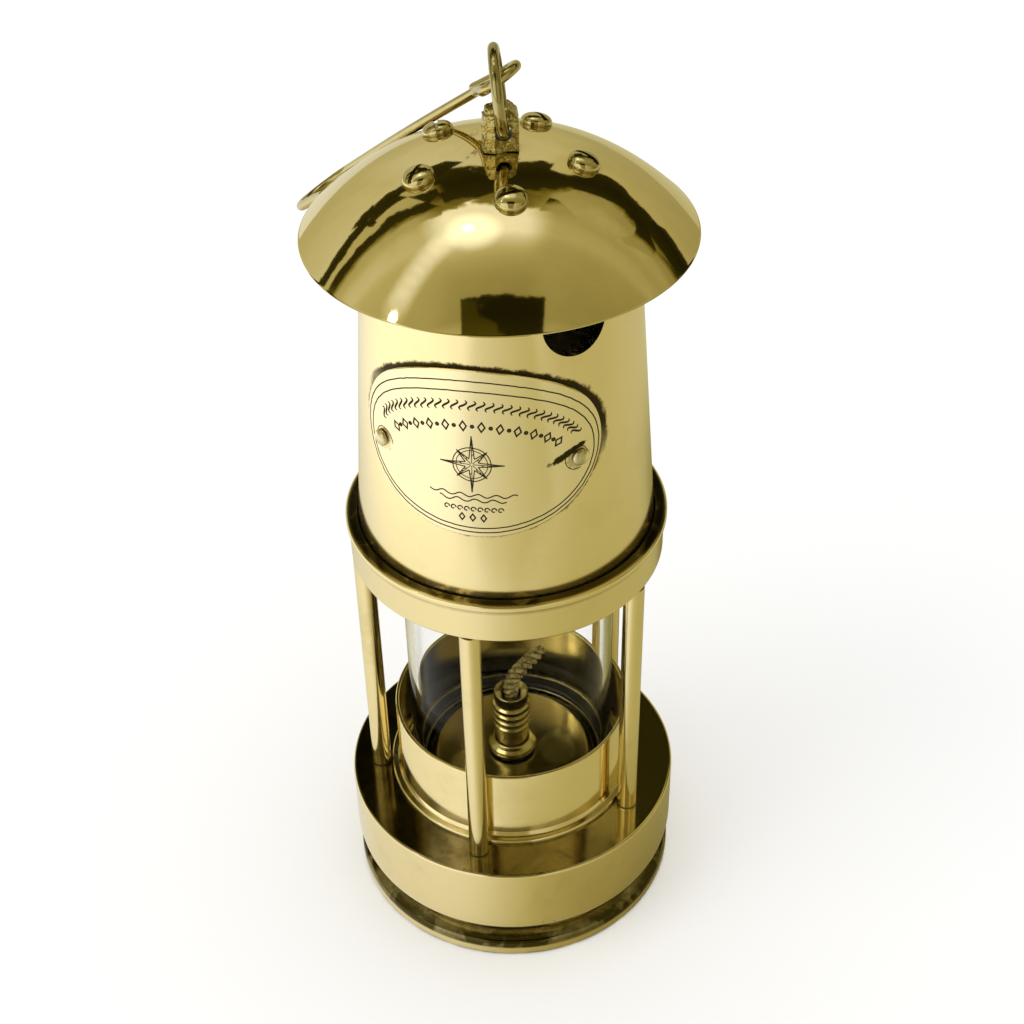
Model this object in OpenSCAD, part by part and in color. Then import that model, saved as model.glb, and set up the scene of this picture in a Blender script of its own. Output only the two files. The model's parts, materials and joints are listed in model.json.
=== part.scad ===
// Hanging brass ship lantern: screw-on fuel tank, caged glass, bonnet, domed hood, swivel ring and hook.
// Origin at the centre of the underside of the foot, +Z up, millimetres.

/* [Base and tank] */
// Radius of the base skirt and its flat top
skirt_r = 36; // [35:0.5:38]
// Height of the flat top of the base skirt
skirt_top_z = 27; // [26:0.5:30]
// Height of the lower edge of the base skirt
skirt_low_z = 6.3; // [6.1:0.1:7.5]
// Radius of the foot of the tank
foot_r = 35.7; // [34:0.1:37]
// Radius of the threaded bore in the skirt
thread_r = 32; // [31.5:0.1:32.5]
// Radial running clearance of the tank thread
thread_gap = 0.05; // [0.02:0.01:0.1]
// Pitch of the tank thread
thread_pitch = 1.5; // [1:0.25:2]

/* [Burner] */
// Height of the top of the burner tube
burner_top_z = 47; // [44:0.5:50]
// Radius of the burner tube
burner_r = 3.7; // [3.4:0.1:4.5]
// Radius of the wick
wick_r = 1.8; // [1.4:0.1:1.9]
// Direction in which the free end of the wick lies
wick_az = 45; // [0:5:90]

/* [Glass] */
// Outer radius of the glass
glass_r = 22; // [21.5:0.1:22.2]
// Wall of the glass
glass_wall = 1.8; // [1.2:0.1:2.2]
// Outer radius of the collar around the foot of the glass
collar_r = 25.4; // [25:0.1:26]
// Height of the rim of the collar
collar_top_z = 45.9; // [40:0.5:50]

/* [Cage] */
// Number of rods
rod_n = 5; // [4:1:6]
// Radius of one rod
rod_r = 2.1; // [1.8:0.1:2.4]
// Radius of the circle the rods stand on
rod_circle_r = 29.5; // [29:0.1:29.6]
// Direction of the first rod
rod_az = -105; // [-180:1:180]
// Height of the underside of the gallery ring
gallery_z = 90.4; // [80:0.5:100]
// Outer radius of the gallery wall
gallery_r = 31.6; // [31.4:0.1:32.5]
// Height of the lip of the gallery above its underside
gallery_h = 9.5; // [8:0.5:12]

/* [Bonnet] */
// Outer radius of the bonnet at its foot
bonnet_r = 29.5; // [29.2:0.1:29.5]
// Outer radius of the bonnet at its top
bonnet_top_r = 24.9; // [24.5:0.1:26]
// Height of the top edge of the bonnet
bonnet_top_z = 165; // [164.6:0.1:165.4]
// Sheet thickness of the bonnet
bonnet_t = 0.9; // [0.7:0.1:1]
// Radius of one vent hole
vent_r = 6.4; // [4:0.2:7]
// Height of the centres of the vent holes
vent_z = 155.7; // [150:0.1:155.7]
// Direction of the first vent hole
vent_az = -60; // [-180:5:180]

/* [Hood] */
// Radius of the rim of the hood
hood_r = 35.7; // [35:0.1:38]
// Height of the rim of the hood
hood_z = 161.7; // [161.5:0.1:162.5]
// Rise of the hood from rim to crown
hood_h = 15.4; // [14.8:0.1:16]
// Fullness of the dome: 2 is a parabola, higher is flatter on top
dome_p = 2.4; // [2.2:0.1:2.6]
// Thickness of the hood, measured upright
hood_t = 1.2; // [1:0.1:1.3]
// Radius of the circle of hood screws
screw_circle_r = 15; // [14:0.5:16]
// Number of hood screws
screw_n = 5; // [3:1:6]
// Direction of the first hood screw
screw_az = -154; // [-180:1:180]

/* [Swivel, ring and hook] */
// Wire radius of the ring and of the hook
wire_r = 0.95; // [0.8:0.05:0.95]
// Mean radius of the ring
ring_r = 7.1; // [7:0.1:7.5]
// Height of the lug hole above the crown of the hood
lug_hole_h = 3.57; // [3.4:0.01:4]
// Lean of the ring away from upright
ring_lean = 6; // [0:1:10]
// Mean radius of the eye of the hook
eye_r = 3.6; // [3.3:0.1:3.8]
// Length of the hook from the centre of its eye to the start of its bend
hook_len = 57; // [55:1:60]
// Mean radius of the bend of the hook
crook_r = 6.5; // [5:0.5:8]
// Direction in which the hook lies over the hood
hook_az = 131.4; // [130:0.1:132]
// Slope of the hook below level
hook_drop = 36.8; // [36:0.1:37]

/* [Plate] */
// Direction the plate faces
plate_az = -101.8; // [-180:0.1:180]
// Width of the plate along its curve
plate_w = 49.5; // [40:0.5:54]
// Height of the plate
plate_h = 34.7; // [30:0.1:40]
// Height of the middle of the plate
plate_z = 131.6; // [125:0.1:135]
// Thickness of the plate
plate_t = 0.6; // [0.4:0.1:0.8]

/* [Hidden] */
$fn = 96;

brass = [0.72, 0.64, 0.32];
bright_brass = [0.80, 0.72, 0.42];
dark_brass = [0.50, 0.44, 0.20];
steel = [0.62, 0.62, 0.60];
felt = [0.16, 0.15, 0.13];

over = 1;       // how far a cutter runs past the face it cuts
sliver = 0.02;  // gap between parts that bear on each other
felt_t = 0.8;   // room for the burner and glass washers

// Heights, from the tank up to the bonnet
skirt_under = skirt_top_z - 3.5;  // underside of the flat top of the skirt
seal_room = 0.5;
tank_lid_t = 1.1;
tank_wall_top = skirt_under - seal_room - tank_lid_t;
boss_top = skirt_top_z + 2.5;     // raised middle of the tank top
seat_z = skirt_top_z + 1;         // floor of the glass collar
glass_low = seat_z + felt_t;
glass_high = gallery_z + 2;
bonnet_low = gallery_z + 5.1;
bonnet_knee = gallery_z + gallery_h + 0.1;  // the bonnet tapers from here up
bonnet_slope = (bonnet_r - bonnet_top_r) / (bonnet_top_z - bonnet_knee);

// Hood and the crown under it, which slopes parallel to the hood at the screws
apex_z = hood_z + hood_h;
hood_slope = dome_p * hood_h / hood_r * pow(screw_circle_r / hood_r, dome_p - 1);
hood_tilt = atan(hood_slope);
screw_z = dome(screw_circle_r);
crown_flat_r = 9;
crown_depth = 6.9;  // crown below the hood at the screws
crown_flat_z = screw_z - crown_depth + (screw_circle_r - crown_flat_r) * hood_slope;

// Hole radii shared by mating parts
rod_tap_r = 1.3;
hood_screw_hole_r = 1.5;
stem_bore_r = 2.02;

// Lug hole
hole_x = 1.2;
hole_z = apex_z + lug_hole_h;

// Rivets, placed either side of the middle of the plate
rivet_spread = 40.3;
rivet_z = plate_z - 2.5;

// Outer radius of the bonnet at height z
function bonnet_at(z) = z < bonnet_knee ? bonnet_r : bonnet_r - (z - bonnet_knee) * bonnet_slope;

// Height of the outside of the hood at radius r
function dome(r) = hood_z + hood_h * (1 - pow(r / hood_r, dome_p));

// A profile of [radius, height] offsets repeated n times up a wall of radius r
function ridges(profile, n, r, z, pitch) =
    [for (i = [0:n - 1]) for (point = profile) [r, z + i * pitch] + point];

// Spins an outline of [radius, height] points about Z
module turned(points) rotate_extrude() polygon(points);

module tube(outer_r, bore_r, h, bore_h, sides = $fn) difference() {
    cylinder(r = outer_r, h = h, $fn = sides);
    translate([0, 0, -over]) cylinder(r = bore_r, h = bore_h);
}

module washer(outer_r, bore_r, z, h)
    translate([0, 0, z]) tube(outer_r, bore_r, h, h + 2 * over);

// Straight cutter for a screwdriver slot
module slot(length, width, z, depth)
    translate([-length / 2, -width / 2, z]) cube([length, width, depth]);

// Disc from height z, rounded by a ball centred at ball_z
module domed_head(r, h, z, ball_r, ball_z) intersection() {
    translate([0, 0, z]) cylinder(r = r, h = h);
    translate([0, 0, ball_z]) sphere(r = ball_r);
}

module around(n, first_az, r, z = 0) for (i = [0:n - 1])
    rotate([0, 0, first_az + i * 360 / n]) translate([r, 0, z]) children();

module at_rods() around(rod_n, rod_az, rod_circle_r) children();

module at_hood_screws()
    around(screw_n, screw_az, screw_circle_r, screw_z) rotate([0, hood_tilt, 0]) children();

module hood_screw_holes(z, h)
    at_hood_screws() translate([0, 0, z]) cylinder(r = hood_screw_hole_r, h = h);

// Local +Z points outward from the lantern axis
module at_rivets() for (side = [-1, 1])
    rotate([0, 0, plate_az + side * rivet_spread])
        translate([0, 0, rivet_z]) rotate([0, 90, 0]) children();

module rivet_holes() at_rivets() translate([0, 0, 20]) cylinder(r = 0.85, h = 12);

// Plane of the hanging ring, with its origin at the ring's centre
module on_ring()
    translate([hole_x, 0, hole_z]) rotate([0, -ring_lean, 0]) translate([0, 0, ring_r]) children();

// Tank with its foot and the outer thread, cut as plain rings
module fuel_tank() color(brass) {
    wall_r = thread_r - thread_gap;
    bore_r = 30;
    floor_t = 2;
    groove = [[0, -0.75], [-0.6, -0.2], [-0.6, 0.2], [0, 0.75]];
    turned(concat(
        [[0, 0], [foot_r - 1, 0], [foot_r - 0.25, 0.35], [foot_r, 1.1], [foot_r - 0.08, 2.4],
         [foot_r - 0.6, 3.7], [foot_r - 1.5, 4.8], [foot_r - 2.6, 5.4], [wall_r, 5.6]],
        ridges(groove, n = 6, r = wall_r, z = 8.2, pitch = thread_pitch),
        [[wall_r, tank_wall_top], [bore_r, tank_wall_top], [bore_r, floor_t + 1],
         [bore_r - 1, floor_t], [0, floor_t]]));
}

// Lid of the tank, with a raised boss and a neck for the burner
module tank_top() color(dark_brass) {
    lid_r = thread_r - 0.1;
    lid_top = tank_wall_top + tank_lid_t;
    neck_bore_r = 3.25;
    neck_r = 4.6;
    neck_low = boss_top - 6;
    turned([[neck_bore_r, boss_top], [16.5, boss_top], [17.9, boss_top - 0.4],
        [18.6, boss_top - 1.3], [18.6, tank_wall_top + 1.5], [19.1, lid_top],
        [lid_r, lid_top], [lid_r, tank_wall_top], [17.6, tank_wall_top],
        [17.6, boss_top - 1.5], [16.4, boss_top - 1], [neck_r, boss_top - 1],
        [neck_r, neck_low], [neck_bore_r, neck_low]]);
}

module tank_seal() color(felt)
    washer(thread_r - 0.2, 23, skirt_under - seal_room + sliver, seal_room - 2 * sliver);

module burner_washer() color(felt) washer(5, 3.4, boss_top + sliver, felt_t - 2 * sliver);

// Burner tube with its ridges, flange and the spigot that enters the neck
module burner() color(brass) {
    flange_z = boss_top + felt_t;
    bore_r = 2.1;
    spigot_r = 3.2;
    spigot_low = boss_top - 5.5;
    ridge = [[0, 0], [0.4, 0.5], [0.4, 1.2], [0, 1.7]];
    turned(concat(
        [[bore_r, spigot_low], [spigot_r, spigot_low], [spigot_r, flange_z], [5.2, flange_z],
         [5.4, flange_z + 0.3], [5.4, flange_z + 1.2], [5, flange_z + 1.6],
         [burner_r, flange_z + 1.9]],
        ridges(ridge, n = 4, r = burner_r, z = flange_z + 6, pitch = 1.9),
        [[burner_r, burner_top_z - 0.5], [burner_r - 0.4, burner_top_z],
         [bore_r + 0.4, burner_top_z], [bore_r, burner_top_z - 0.4]]));
}

// Wick, standing in the tank and lying over to one side above the burner
module wick() color("ivory") rotate([0, 0, wick_az]) {
    low_z = 8;
    bend_z = burner_top_z + 2.2;
    free_len = 9.6;
    lean = 68;
    translate([0, 0, low_z]) cylinder(r = wick_r, h = bend_z - low_z);
    translate([0, 0, bend_z]) {
        sphere(r = wick_r);
        rotate([0, lean, 0]) {
            cylinder(r = wick_r, h = free_len);
            translate([0, 0, free_len]) sphere(r = wick_r);
        }
    }
}

// Turned ring with the flat top that carries the cage, countersunk from below
module base_skirt() color(brass) difference() {
    opening_r = 22.55;
    turned([[thread_r, skirt_low_z], [skirt_r - 2.96, skirt_low_z],
        [skirt_r - 1.5, skirt_low_z + 1.1], [skirt_r - 0.5, skirt_low_z + 3],
        [skirt_r, skirt_low_z + 5.5], [skirt_r, skirt_top_z - 0.5], [skirt_r - 0.5, skirt_top_z],
        [opening_r, skirt_top_z], [opening_r, skirt_under], [thread_r, skirt_under]]);
    at_rods() {
        translate([0, 0, skirt_under - over]) cylinder(r = rod_tap_r, h = 6);
        translate([0, 0, skirt_under - 0.01]) cylinder(r1 = 2.36, r2 = rod_tap_r, h = 1.12);
    }
}

// Cup around the foot of the glass: spigot below, flange on the skirt, wall above
module glass_collar() color(bright_brass) {
    spigot_r = 22.5;
    spigot_bore_r = 21.5;
    spigot_low = skirt_top_z - 2.5;
    flange_r = 27.2;
    wall = 0.9;
    floor_r = 20;
    floor_under = skirt_top_z - 0.2;
    turned([[spigot_bore_r, spigot_low], [spigot_r, spigot_low], [spigot_r, skirt_top_z],
        [flange_r, skirt_top_z], [flange_r, skirt_top_z + 0.7], [flange_r - 0.3, seat_z],
        [collar_r, seat_z], [collar_r, collar_top_z - 0.3], [collar_r - 0.3, collar_top_z],
        [collar_r - 0.7, collar_top_z], [collar_r - wall, collar_top_z - 0.3],
        [collar_r - wall, seat_z], [floor_r, seat_z], [floor_r, floor_under],
        [spigot_bore_r, floor_under]]);
}

module glass_seat_washer() color(felt) washer(23.6, 20.2, seat_z, felt_t);

module glass_chimney() color([0.9, 0.95, 0.93, 0.35]) {
    bore_r = glass_r - glass_wall;
    edge = 0.4;  // chamfer
    turned([[bore_r + edge, glass_low], [glass_r - edge, glass_low],
        [glass_r, glass_low + edge], [glass_r, glass_high - edge],
        [glass_r - edge, glass_high], [bore_r + edge, glass_high],
        [bore_r, glass_high - edge], [bore_r, glass_low + edge]]);
}

module glass_top_washer() color(felt) washer(22.3, 20, glass_high, felt_t - sliver);

// Rods, bored at the foot and with a spigot at the head
module cage_rods() color(bright_brass) at_rods() difference() {
    edge = 0.3;
    union() {
        translate([0, 0, skirt_top_z]) cylinder(r1 = rod_r - edge, r2 = rod_r, h = edge);
        translate([0, 0, skirt_top_z + edge])
            cylinder(r = rod_r, h = gallery_z - skirt_top_z - edge);
        translate([0, 0, gallery_z - 0.5]) cylinder(r = 1.5, h = 4.5);
    }
    translate([0, 0, skirt_top_z - over]) cylinder(r = rod_tap_r, h = 7.5);
}

// Countersunk screws up through the skirt into the rods
module rod_screws() color(steel) at_rods() difference() {
    shank_r = 1.25;
    union() {
        translate([0, 0, skirt_under + sliver]) cylinder(r1 = 2.3, r2 = shank_r, h = 1.08);
        translate([0, 0, skirt_under + 1]) cylinder(r = shank_r, h = 8);
    }
    slot(length = 6, width = 0.6, z = skirt_under - over, depth = 1.5);
}

// Ring on top of the rods: seats the glass below and the bonnet above
module gallery_ring() color(brass) difference() {
    lip_z = gallery_z + gallery_h;
    lip_r = gallery_r + 0.6;
    glass_recess_r = 22.6;
    glass_step_z = glass_high + felt_t;
    bonnet_recess_r = bonnet_r + 0.1;
    opening_r = 19.8;
    turned([[glass_recess_r, gallery_z], [gallery_r - 1, gallery_z],
        [gallery_r - 0.3, gallery_z + 0.3], [gallery_r, gallery_z + 1], [gallery_r, lip_z - 1.9],
        [lip_r, lip_z - 1.2], [lip_r, lip_z - 0.3], [gallery_r + 0.3, lip_z],
        [bonnet_recess_r, lip_z], [bonnet_recess_r, bonnet_low], [opening_r, bonnet_low],
        [opening_r, glass_step_z], [glass_recess_r, glass_step_z]]);
    at_rods() translate([0, 0, gallery_z - over]) cylinder(r = 1.55, h = 5.3);
}

// Tapering sheet drum with vent holes near its top
module bonnet() color(brass) difference() {
    turned([[bonnet_r - bonnet_t, bonnet_low], [bonnet_r, bonnet_low], [bonnet_r, bonnet_knee],
        [bonnet_top_r, bonnet_top_z], [bonnet_top_r - bonnet_t, bonnet_top_z],
        [bonnet_r - bonnet_t, bonnet_knee]]);
    around(3, vent_az, 15, vent_z) rotate([0, 90, 0]) cylinder(r = vent_r, h = 20);
    rivet_holes();
}

// Inner lid of the bonnet that the hood is screwed to
module bonnet_crown() color(dark_brass) difference() {
    rim_r = bonnet_top_r - bonnet_t - 0.05;
    rim_low = bonnet_top_z - 3;
    under_z = crown_flat_z - 1.06;
    turned([[0, under_z], [8.8, under_z], [22.4, under_z - 13.6 * hood_slope],
        [rim_r - 0.9, rim_low], [rim_r, rim_low], [rim_r, crown_flat_z - 14.6 * hood_slope],
        [23.2, crown_flat_z - 14.2 * hood_slope], [crown_flat_r, crown_flat_z],
        [0, crown_flat_z]]);
    hood_screw_holes(z = -12, h = 10);
}

module hood_spacers() color(dark_brass) at_hood_screws()
    translate([0, 0, -6.55]) tube(2.6, hood_screw_hole_r, h = 5.27, bore_h = 8);

// Shallow dome; the inner face is the outer one lowered by hood_t
module hood() color(brass) difference() {
    steps = 20;
    inner_r = hood_r * pow(1 - hood_t / hood_h, 1 / dome_p);
    turned(concat(
        [for (i = [0:steps]) let (r = hood_r * i / steps) [r, dome(r)]],
        [for (i = [steps:-1:0]) let (r = inner_r * i / steps) [r, dome(r) - hood_t]]));
    translate([0, 0, apex_z - 5]) cylinder(r = 2.05, h = 8);
    hood_screw_holes(z = -4, h = 6);
}

module hood_screws() color(brass) at_hood_screws() difference() {
    union() {
        translate([0, 0, -10]) cylinder(r = 1.45, h = 10.5);
        domed_head(r = 2.9, h = 3, z = sliver, ball_r = 3.25, ball_z = -1.3);
    }
    slot(length = 8, width = 0.7, z = 1.1, depth = 2);
}

module hood_nuts() color(brass) at_hood_screws()
    translate([0, 0, -9.8]) tube(2.9, hood_screw_hole_r, h = 2, bore_h = 4, sides = 6);

// Round-topped lug, with a stem down through the crown of the hood
module swivel_post() color(dark_brass) {
    lug_r = 3.2;
    lug_x = hole_x - 0.5;
    lug_t = 4.4;
    lug_h = 5.5;
    difference() {
        union() {
            translate([lug_x - lug_r, -lug_t / 2, apex_z + 0.05]) cube([2 * lug_r, lug_t, lug_h]);
            translate([lug_x, lug_t / 2, apex_z + lug_h])
                rotate([90, 0, 0]) cylinder(r = lug_r, h = lug_t);
        }
        translate([hole_x, 3, hole_z]) rotate([90, 0, 0]) cylinder(r = 1.5, h = 6);
    }
    translate([0, 0, apex_z - 5.3]) cylinder(r = 2, h = 5.4);
}

module swivel_washer() color(steel) washer(4.2, stem_bore_r, apex_z - 2.2, 0.7);

module swivel_nut() color(steel)
    translate([0, 0, apex_z - 4.9]) tube(3.6, stem_bore_r, h = 2.65, bore_h = 5, sides = 6);

module hanging_ring() color(bright_brass) on_ring() rotate([0, 90, 0])
    rotate_extrude() translate([ring_r, 0]) circle(wire_r);

// Wire hook: closed eye on the ring, straight shank over the hood, round bend and short return
module hook() color(bright_brass) {
    eye_angle = -7;  // place of the eye around the ring, from +Y
    roll = -13.7;    // turn of the hook about its shank
    return_len = 9;
    on_ring() translate([0, ring_r * cos(eye_angle), ring_r * sin(eye_angle)])
    rotate([0, ring_lean, 0]) rotate([0, 0, hook_az])
    rotate([0, hook_drop, 0]) rotate([roll, 0, 0]) {
        rotate_extrude() translate([eye_r, 0]) circle(wire_r);
        translate([eye_r, 0, 0]) rotate([0, 90, 0]) cylinder(r = wire_r, h = hook_len - eye_r);
        translate([hook_len, crook_r, 0]) rotate([0, 0, -90])
            rotate_extrude(angle = 180) translate([crook_r, 0]) circle(wire_r);
        translate([hook_len - return_len, 2 * crook_r, 0])
            rotate([0, 90, 0]) cylinder(r = wire_r, h = return_len);
        translate([hook_len - return_len, 2 * crook_r, 0]) sphere(r = wire_r);
    }
}

// Oval plate rolled to the taper of the bonnet: an oval bar cuts it from a conical shell
module nameplate() color(bright_brass) difference() {
    low_z = 112;
    high_z = 151;
    low_r = bonnet_at(low_z) + sliver;
    high_r = bonnet_at(high_z) + sliver;
    mid_r = bonnet_at(plate_z);
    sides = 44;
    intersection() {
        turned([[low_r, low_z], [low_r + plate_t, low_z],
            [high_r + plate_t, high_z], [high_r, high_z]]);
        rotate([0, 0, plate_az + 90]) translate([0, 0, plate_z]) rotate([90, 0, 0])
            linear_extrude(height = 40) polygon([for (i = [0:sides - 1])
                let (angle = i * 360 / sides, arc = plate_w / 2 * cos(angle))
                [mid_r * sin(arc / mid_r * 180 / PI), plate_h / 2 * sin(angle)]]);
    }
    rivet_holes();
}

// Rivets with a flat head inside the bonnet and a domed one outside
module nameplate_rivets() color(brass) at_rivets() {
    wall_r = bonnet_at(rivet_z);
    face_r = wall_r + plate_t;
    translate([0, 0, wall_r - 1.2]) cylinder(r = 0.8, h = 2.4);
    translate([0, 0, wall_r - 1.8]) cylinder(r = 1.4, h = 0.75);
    domed_head(r = 1.7, h = 2, z = face_r + 0.17, ball_r = 1.9, ball_z = face_r - 0.65);
}

fuel_tank();
tank_top();
tank_seal();
burner_washer();
burner();
wick();
base_skirt();
glass_collar();
glass_seat_washer();
glass_chimney();
glass_top_washer();
cage_rods();
rod_screws();
gallery_ring();
bonnet();
bonnet_crown();
hood_spacers();
hood();
hood_screws();
hood_nuts();
swivel_post();
swivel_washer();
swivel_nut();
hanging_ring();
hook();
nameplate();
nameplate_rivets();
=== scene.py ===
"""Looks of the hanging brass ship lantern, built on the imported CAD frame. Metres, +Z up."""
import bpy
import bmesh
import json
import math
import numpy as np
from mathutils import Matrix, Vector, noise

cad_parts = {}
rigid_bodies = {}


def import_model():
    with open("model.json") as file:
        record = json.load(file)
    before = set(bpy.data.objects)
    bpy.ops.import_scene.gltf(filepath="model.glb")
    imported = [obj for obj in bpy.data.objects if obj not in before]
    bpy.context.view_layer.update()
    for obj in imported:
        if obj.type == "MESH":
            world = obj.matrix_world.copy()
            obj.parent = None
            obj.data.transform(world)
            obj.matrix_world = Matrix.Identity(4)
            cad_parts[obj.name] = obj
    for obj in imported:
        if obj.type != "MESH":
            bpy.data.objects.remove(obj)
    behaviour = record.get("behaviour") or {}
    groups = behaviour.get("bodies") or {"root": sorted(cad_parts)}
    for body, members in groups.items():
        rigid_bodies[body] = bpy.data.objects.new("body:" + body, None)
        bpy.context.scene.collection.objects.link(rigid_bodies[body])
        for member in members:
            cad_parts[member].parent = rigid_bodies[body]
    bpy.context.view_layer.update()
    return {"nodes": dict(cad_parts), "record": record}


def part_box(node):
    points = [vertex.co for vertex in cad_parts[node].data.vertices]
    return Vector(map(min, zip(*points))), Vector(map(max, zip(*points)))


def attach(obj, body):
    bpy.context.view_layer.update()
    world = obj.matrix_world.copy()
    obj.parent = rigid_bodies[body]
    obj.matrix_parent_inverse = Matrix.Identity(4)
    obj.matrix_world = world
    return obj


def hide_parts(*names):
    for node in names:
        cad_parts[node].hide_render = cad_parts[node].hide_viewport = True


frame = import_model()
MM = 0.001
SEG = 320

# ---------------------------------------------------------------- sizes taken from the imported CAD
skirt_lo, skirt_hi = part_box("base_skirt")
SKIRT_R, SKIRT_Z0, SKIRT_Z1 = skirt_hi.x / MM, skirt_lo.z / MM, skirt_hi.z / MM
FOOT_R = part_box("fuel_tank")[1].x / MM
hood_lo, hood_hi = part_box("hood")
HOOD_R, HOOD_Z, APEX = hood_hi.x / MM, hood_lo.z / MM, hood_hi.z / MM
HOOD_H = APEX - HOOD_Z
gal_lo, gal_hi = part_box("gallery_ring")
GAL_Z0, GAL_Z1, GAL_R = gal_lo.z / MM, gal_hi.z / MM, gal_hi.x / MM - 0.6
bon_lo, bon_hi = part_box("bonnet")
BON_Z0, BON_Z1, BON_R = bon_lo.z / MM, bon_hi.z / MM, bon_hi.x / MM
glass_lo, glass_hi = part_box("glass_chimney")
GLASS_R, GLASS_Z0, GLASS_Z1 = glass_hi.x / MM, glass_lo.z / MM, glass_hi.z / MM
COLLAR_Z1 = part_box("glass_collar")[1].z / MM
BURN_Z1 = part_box("burner")[1].z / MM
KNEE = GAL_Z1 + 0.1
BON_TOP_R = 24.9
SLOPE = (BON_R - BON_TOP_R) / (BON_Z1 - KNEE)
ROD_C, ROD_R, ROD_AZ = 29.5, 2.1, -105.0
SCREW_C, SCREW_AZ = 15.0, -154.0
DOME_P = 2.4
PLATE_AZ, PLATE_Z, PLATE_W, PLATE_H = -101.8, 131.6, 49.5, 34.7


def bonnet_at(z):
    return BON_R if z < KNEE else BON_R - (z - KNEE) * SLOPE


def dome(r):
    return HOOD_Z + HOOD_H * (1 - (r / HOOD_R) ** DOME_P)


# ---------------------------------------------------------------- mesh helpers (millimetres in, metres out)
def new_object(name, verts, faces, scale=MM):
    me = bpy.data.meshes.new(name)
    me.from_pydata([tuple(float(c) * scale for c in v) for v in verts], [], [tuple(int(i) for i in f) for f in faces])
    me.update()
    ob = bpy.data.objects.new(name, me)
    bpy.context.scene.collection.objects.link(ob)
    return ob


def smooth(ob, angle=35.0):
    me = ob.data
    me.polygons.foreach_set("use_smooth", [True] * len(me.polygons))
    me.set_sharp_from_angle(angle=math.radians(angle))
    me.update()
    return ob


def applied(ob):
    dg = bpy.context.evaluated_depsgraph_get()
    me = bpy.data.meshes.new_from_object(ob.evaluated_get(dg))
    old = ob.data
    ob.modifiers.clear()
    ob.data = me
    bpy.data.meshes.remove(old)
    return ob


def rounded(points, steps=6):
    """Closed profile from (r, z) or (r, z, corner radius) points."""
    out = []
    n = len(points)
    for i, p in enumerate(points):
        rad = p[2] if len(p) > 2 else 0.0
        b = np.array(p[:2], float)
        if rad <= 0:
            out.append(tuple(b))
            continue
        a, c = np.array(points[i - 1][:2], float), np.array(points[(i + 1) % n][:2], float)
        u, v = (a - b) / np.linalg.norm(a - b), (c - b) / np.linalg.norm(c - b)
        half = math.acos(max(-1, min(1, float(u @ v)))) / 2
        t = min(rad / math.tan(half), 0.48 * np.linalg.norm(a - b), 0.48 * np.linalg.norm(c - b))
        rad = t * math.tan(half)
        centre = b + (u + v) / np.linalg.norm(u + v) * (rad / math.sin(half))
        s, e = b + u * t - centre, b + v * t - centre
        a0, a1 = math.atan2(s[1], s[0]), math.atan2(e[1], e[0])
        d = (a1 - a0 + math.pi) % (2 * math.pi) - math.pi
        k = max(2, int(round(steps * abs(d) / (math.pi / 2))))
        for j in range(k + 1):
            q = a0 + d * j / k
            out.append((centre[0] + rad * math.cos(q), centre[1] + rad * math.sin(q)))
    return out


def spline(points, per=6):
    """Catmull-Rom curve through open points."""
    p = [np.array(q, float) for q in points]
    p = [2 * p[0] - p[1]] + p + [2 * p[-1] - p[-2]]
    out = []
    for i in range(1, len(p) - 2):
        for j in range(per):
            t = j / per
            out.append(tuple(0.5 * (2 * p[i] + (p[i + 1] - p[i - 1]) * t + (2 * p[i - 1] - 5 * p[i] + 4 * p[i + 1] - p[i + 2]) * t * t
                                    + (3 * p[i] - p[i - 1] - 3 * p[i + 1] + p[i + 2]) * t ** 3)))
    out.append(tuple(p[-2]))
    return out


def profile_normals(prof):
    """Per edge: normal at its first and its last point, smoothed over small bends by edge length."""
    p = np.array(prof, float)
    n = len(p)
    d = np.roll(p, -1, 0) - p
    ln = np.linalg.norm(d, axis=1)
    en = np.stack([d[:, 1], -d[:, 0]], 1) / np.maximum(ln, 1e-9)[:, None]
    first, last = en.copy(), en.copy()
    for k in range(n):
        a, b = (k - 1) % n, k
        if en[a] @ en[b] > math.cos(math.radians(24)):
            m = en[a] * ln[a] + en[b] * ln[b]
            m = m / np.linalg.norm(m)
            last[a], first[b] = m, m
    return p, first, last


def clean_profile(points):
    out = []
    for q in points:
        q = (max(0.0, float(q[0])), float(q[1]))
        if not out or abs(q[0] - out[-1][0]) + abs(q[1] - out[-1][1]) > 1e-4:
            out.append(q)
    if abs(out[0][0] - out[-1][0]) + abs(out[0][1] - out[-1][1]) < 1e-4:
        out.pop()
    area = sum(out[i][0] * out[(i + 1) % len(out)][1] - out[(i + 1) % len(out)][0] * out[i][1] for i in range(len(out)))
    return out if area > 0 else out[::-1]


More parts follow.
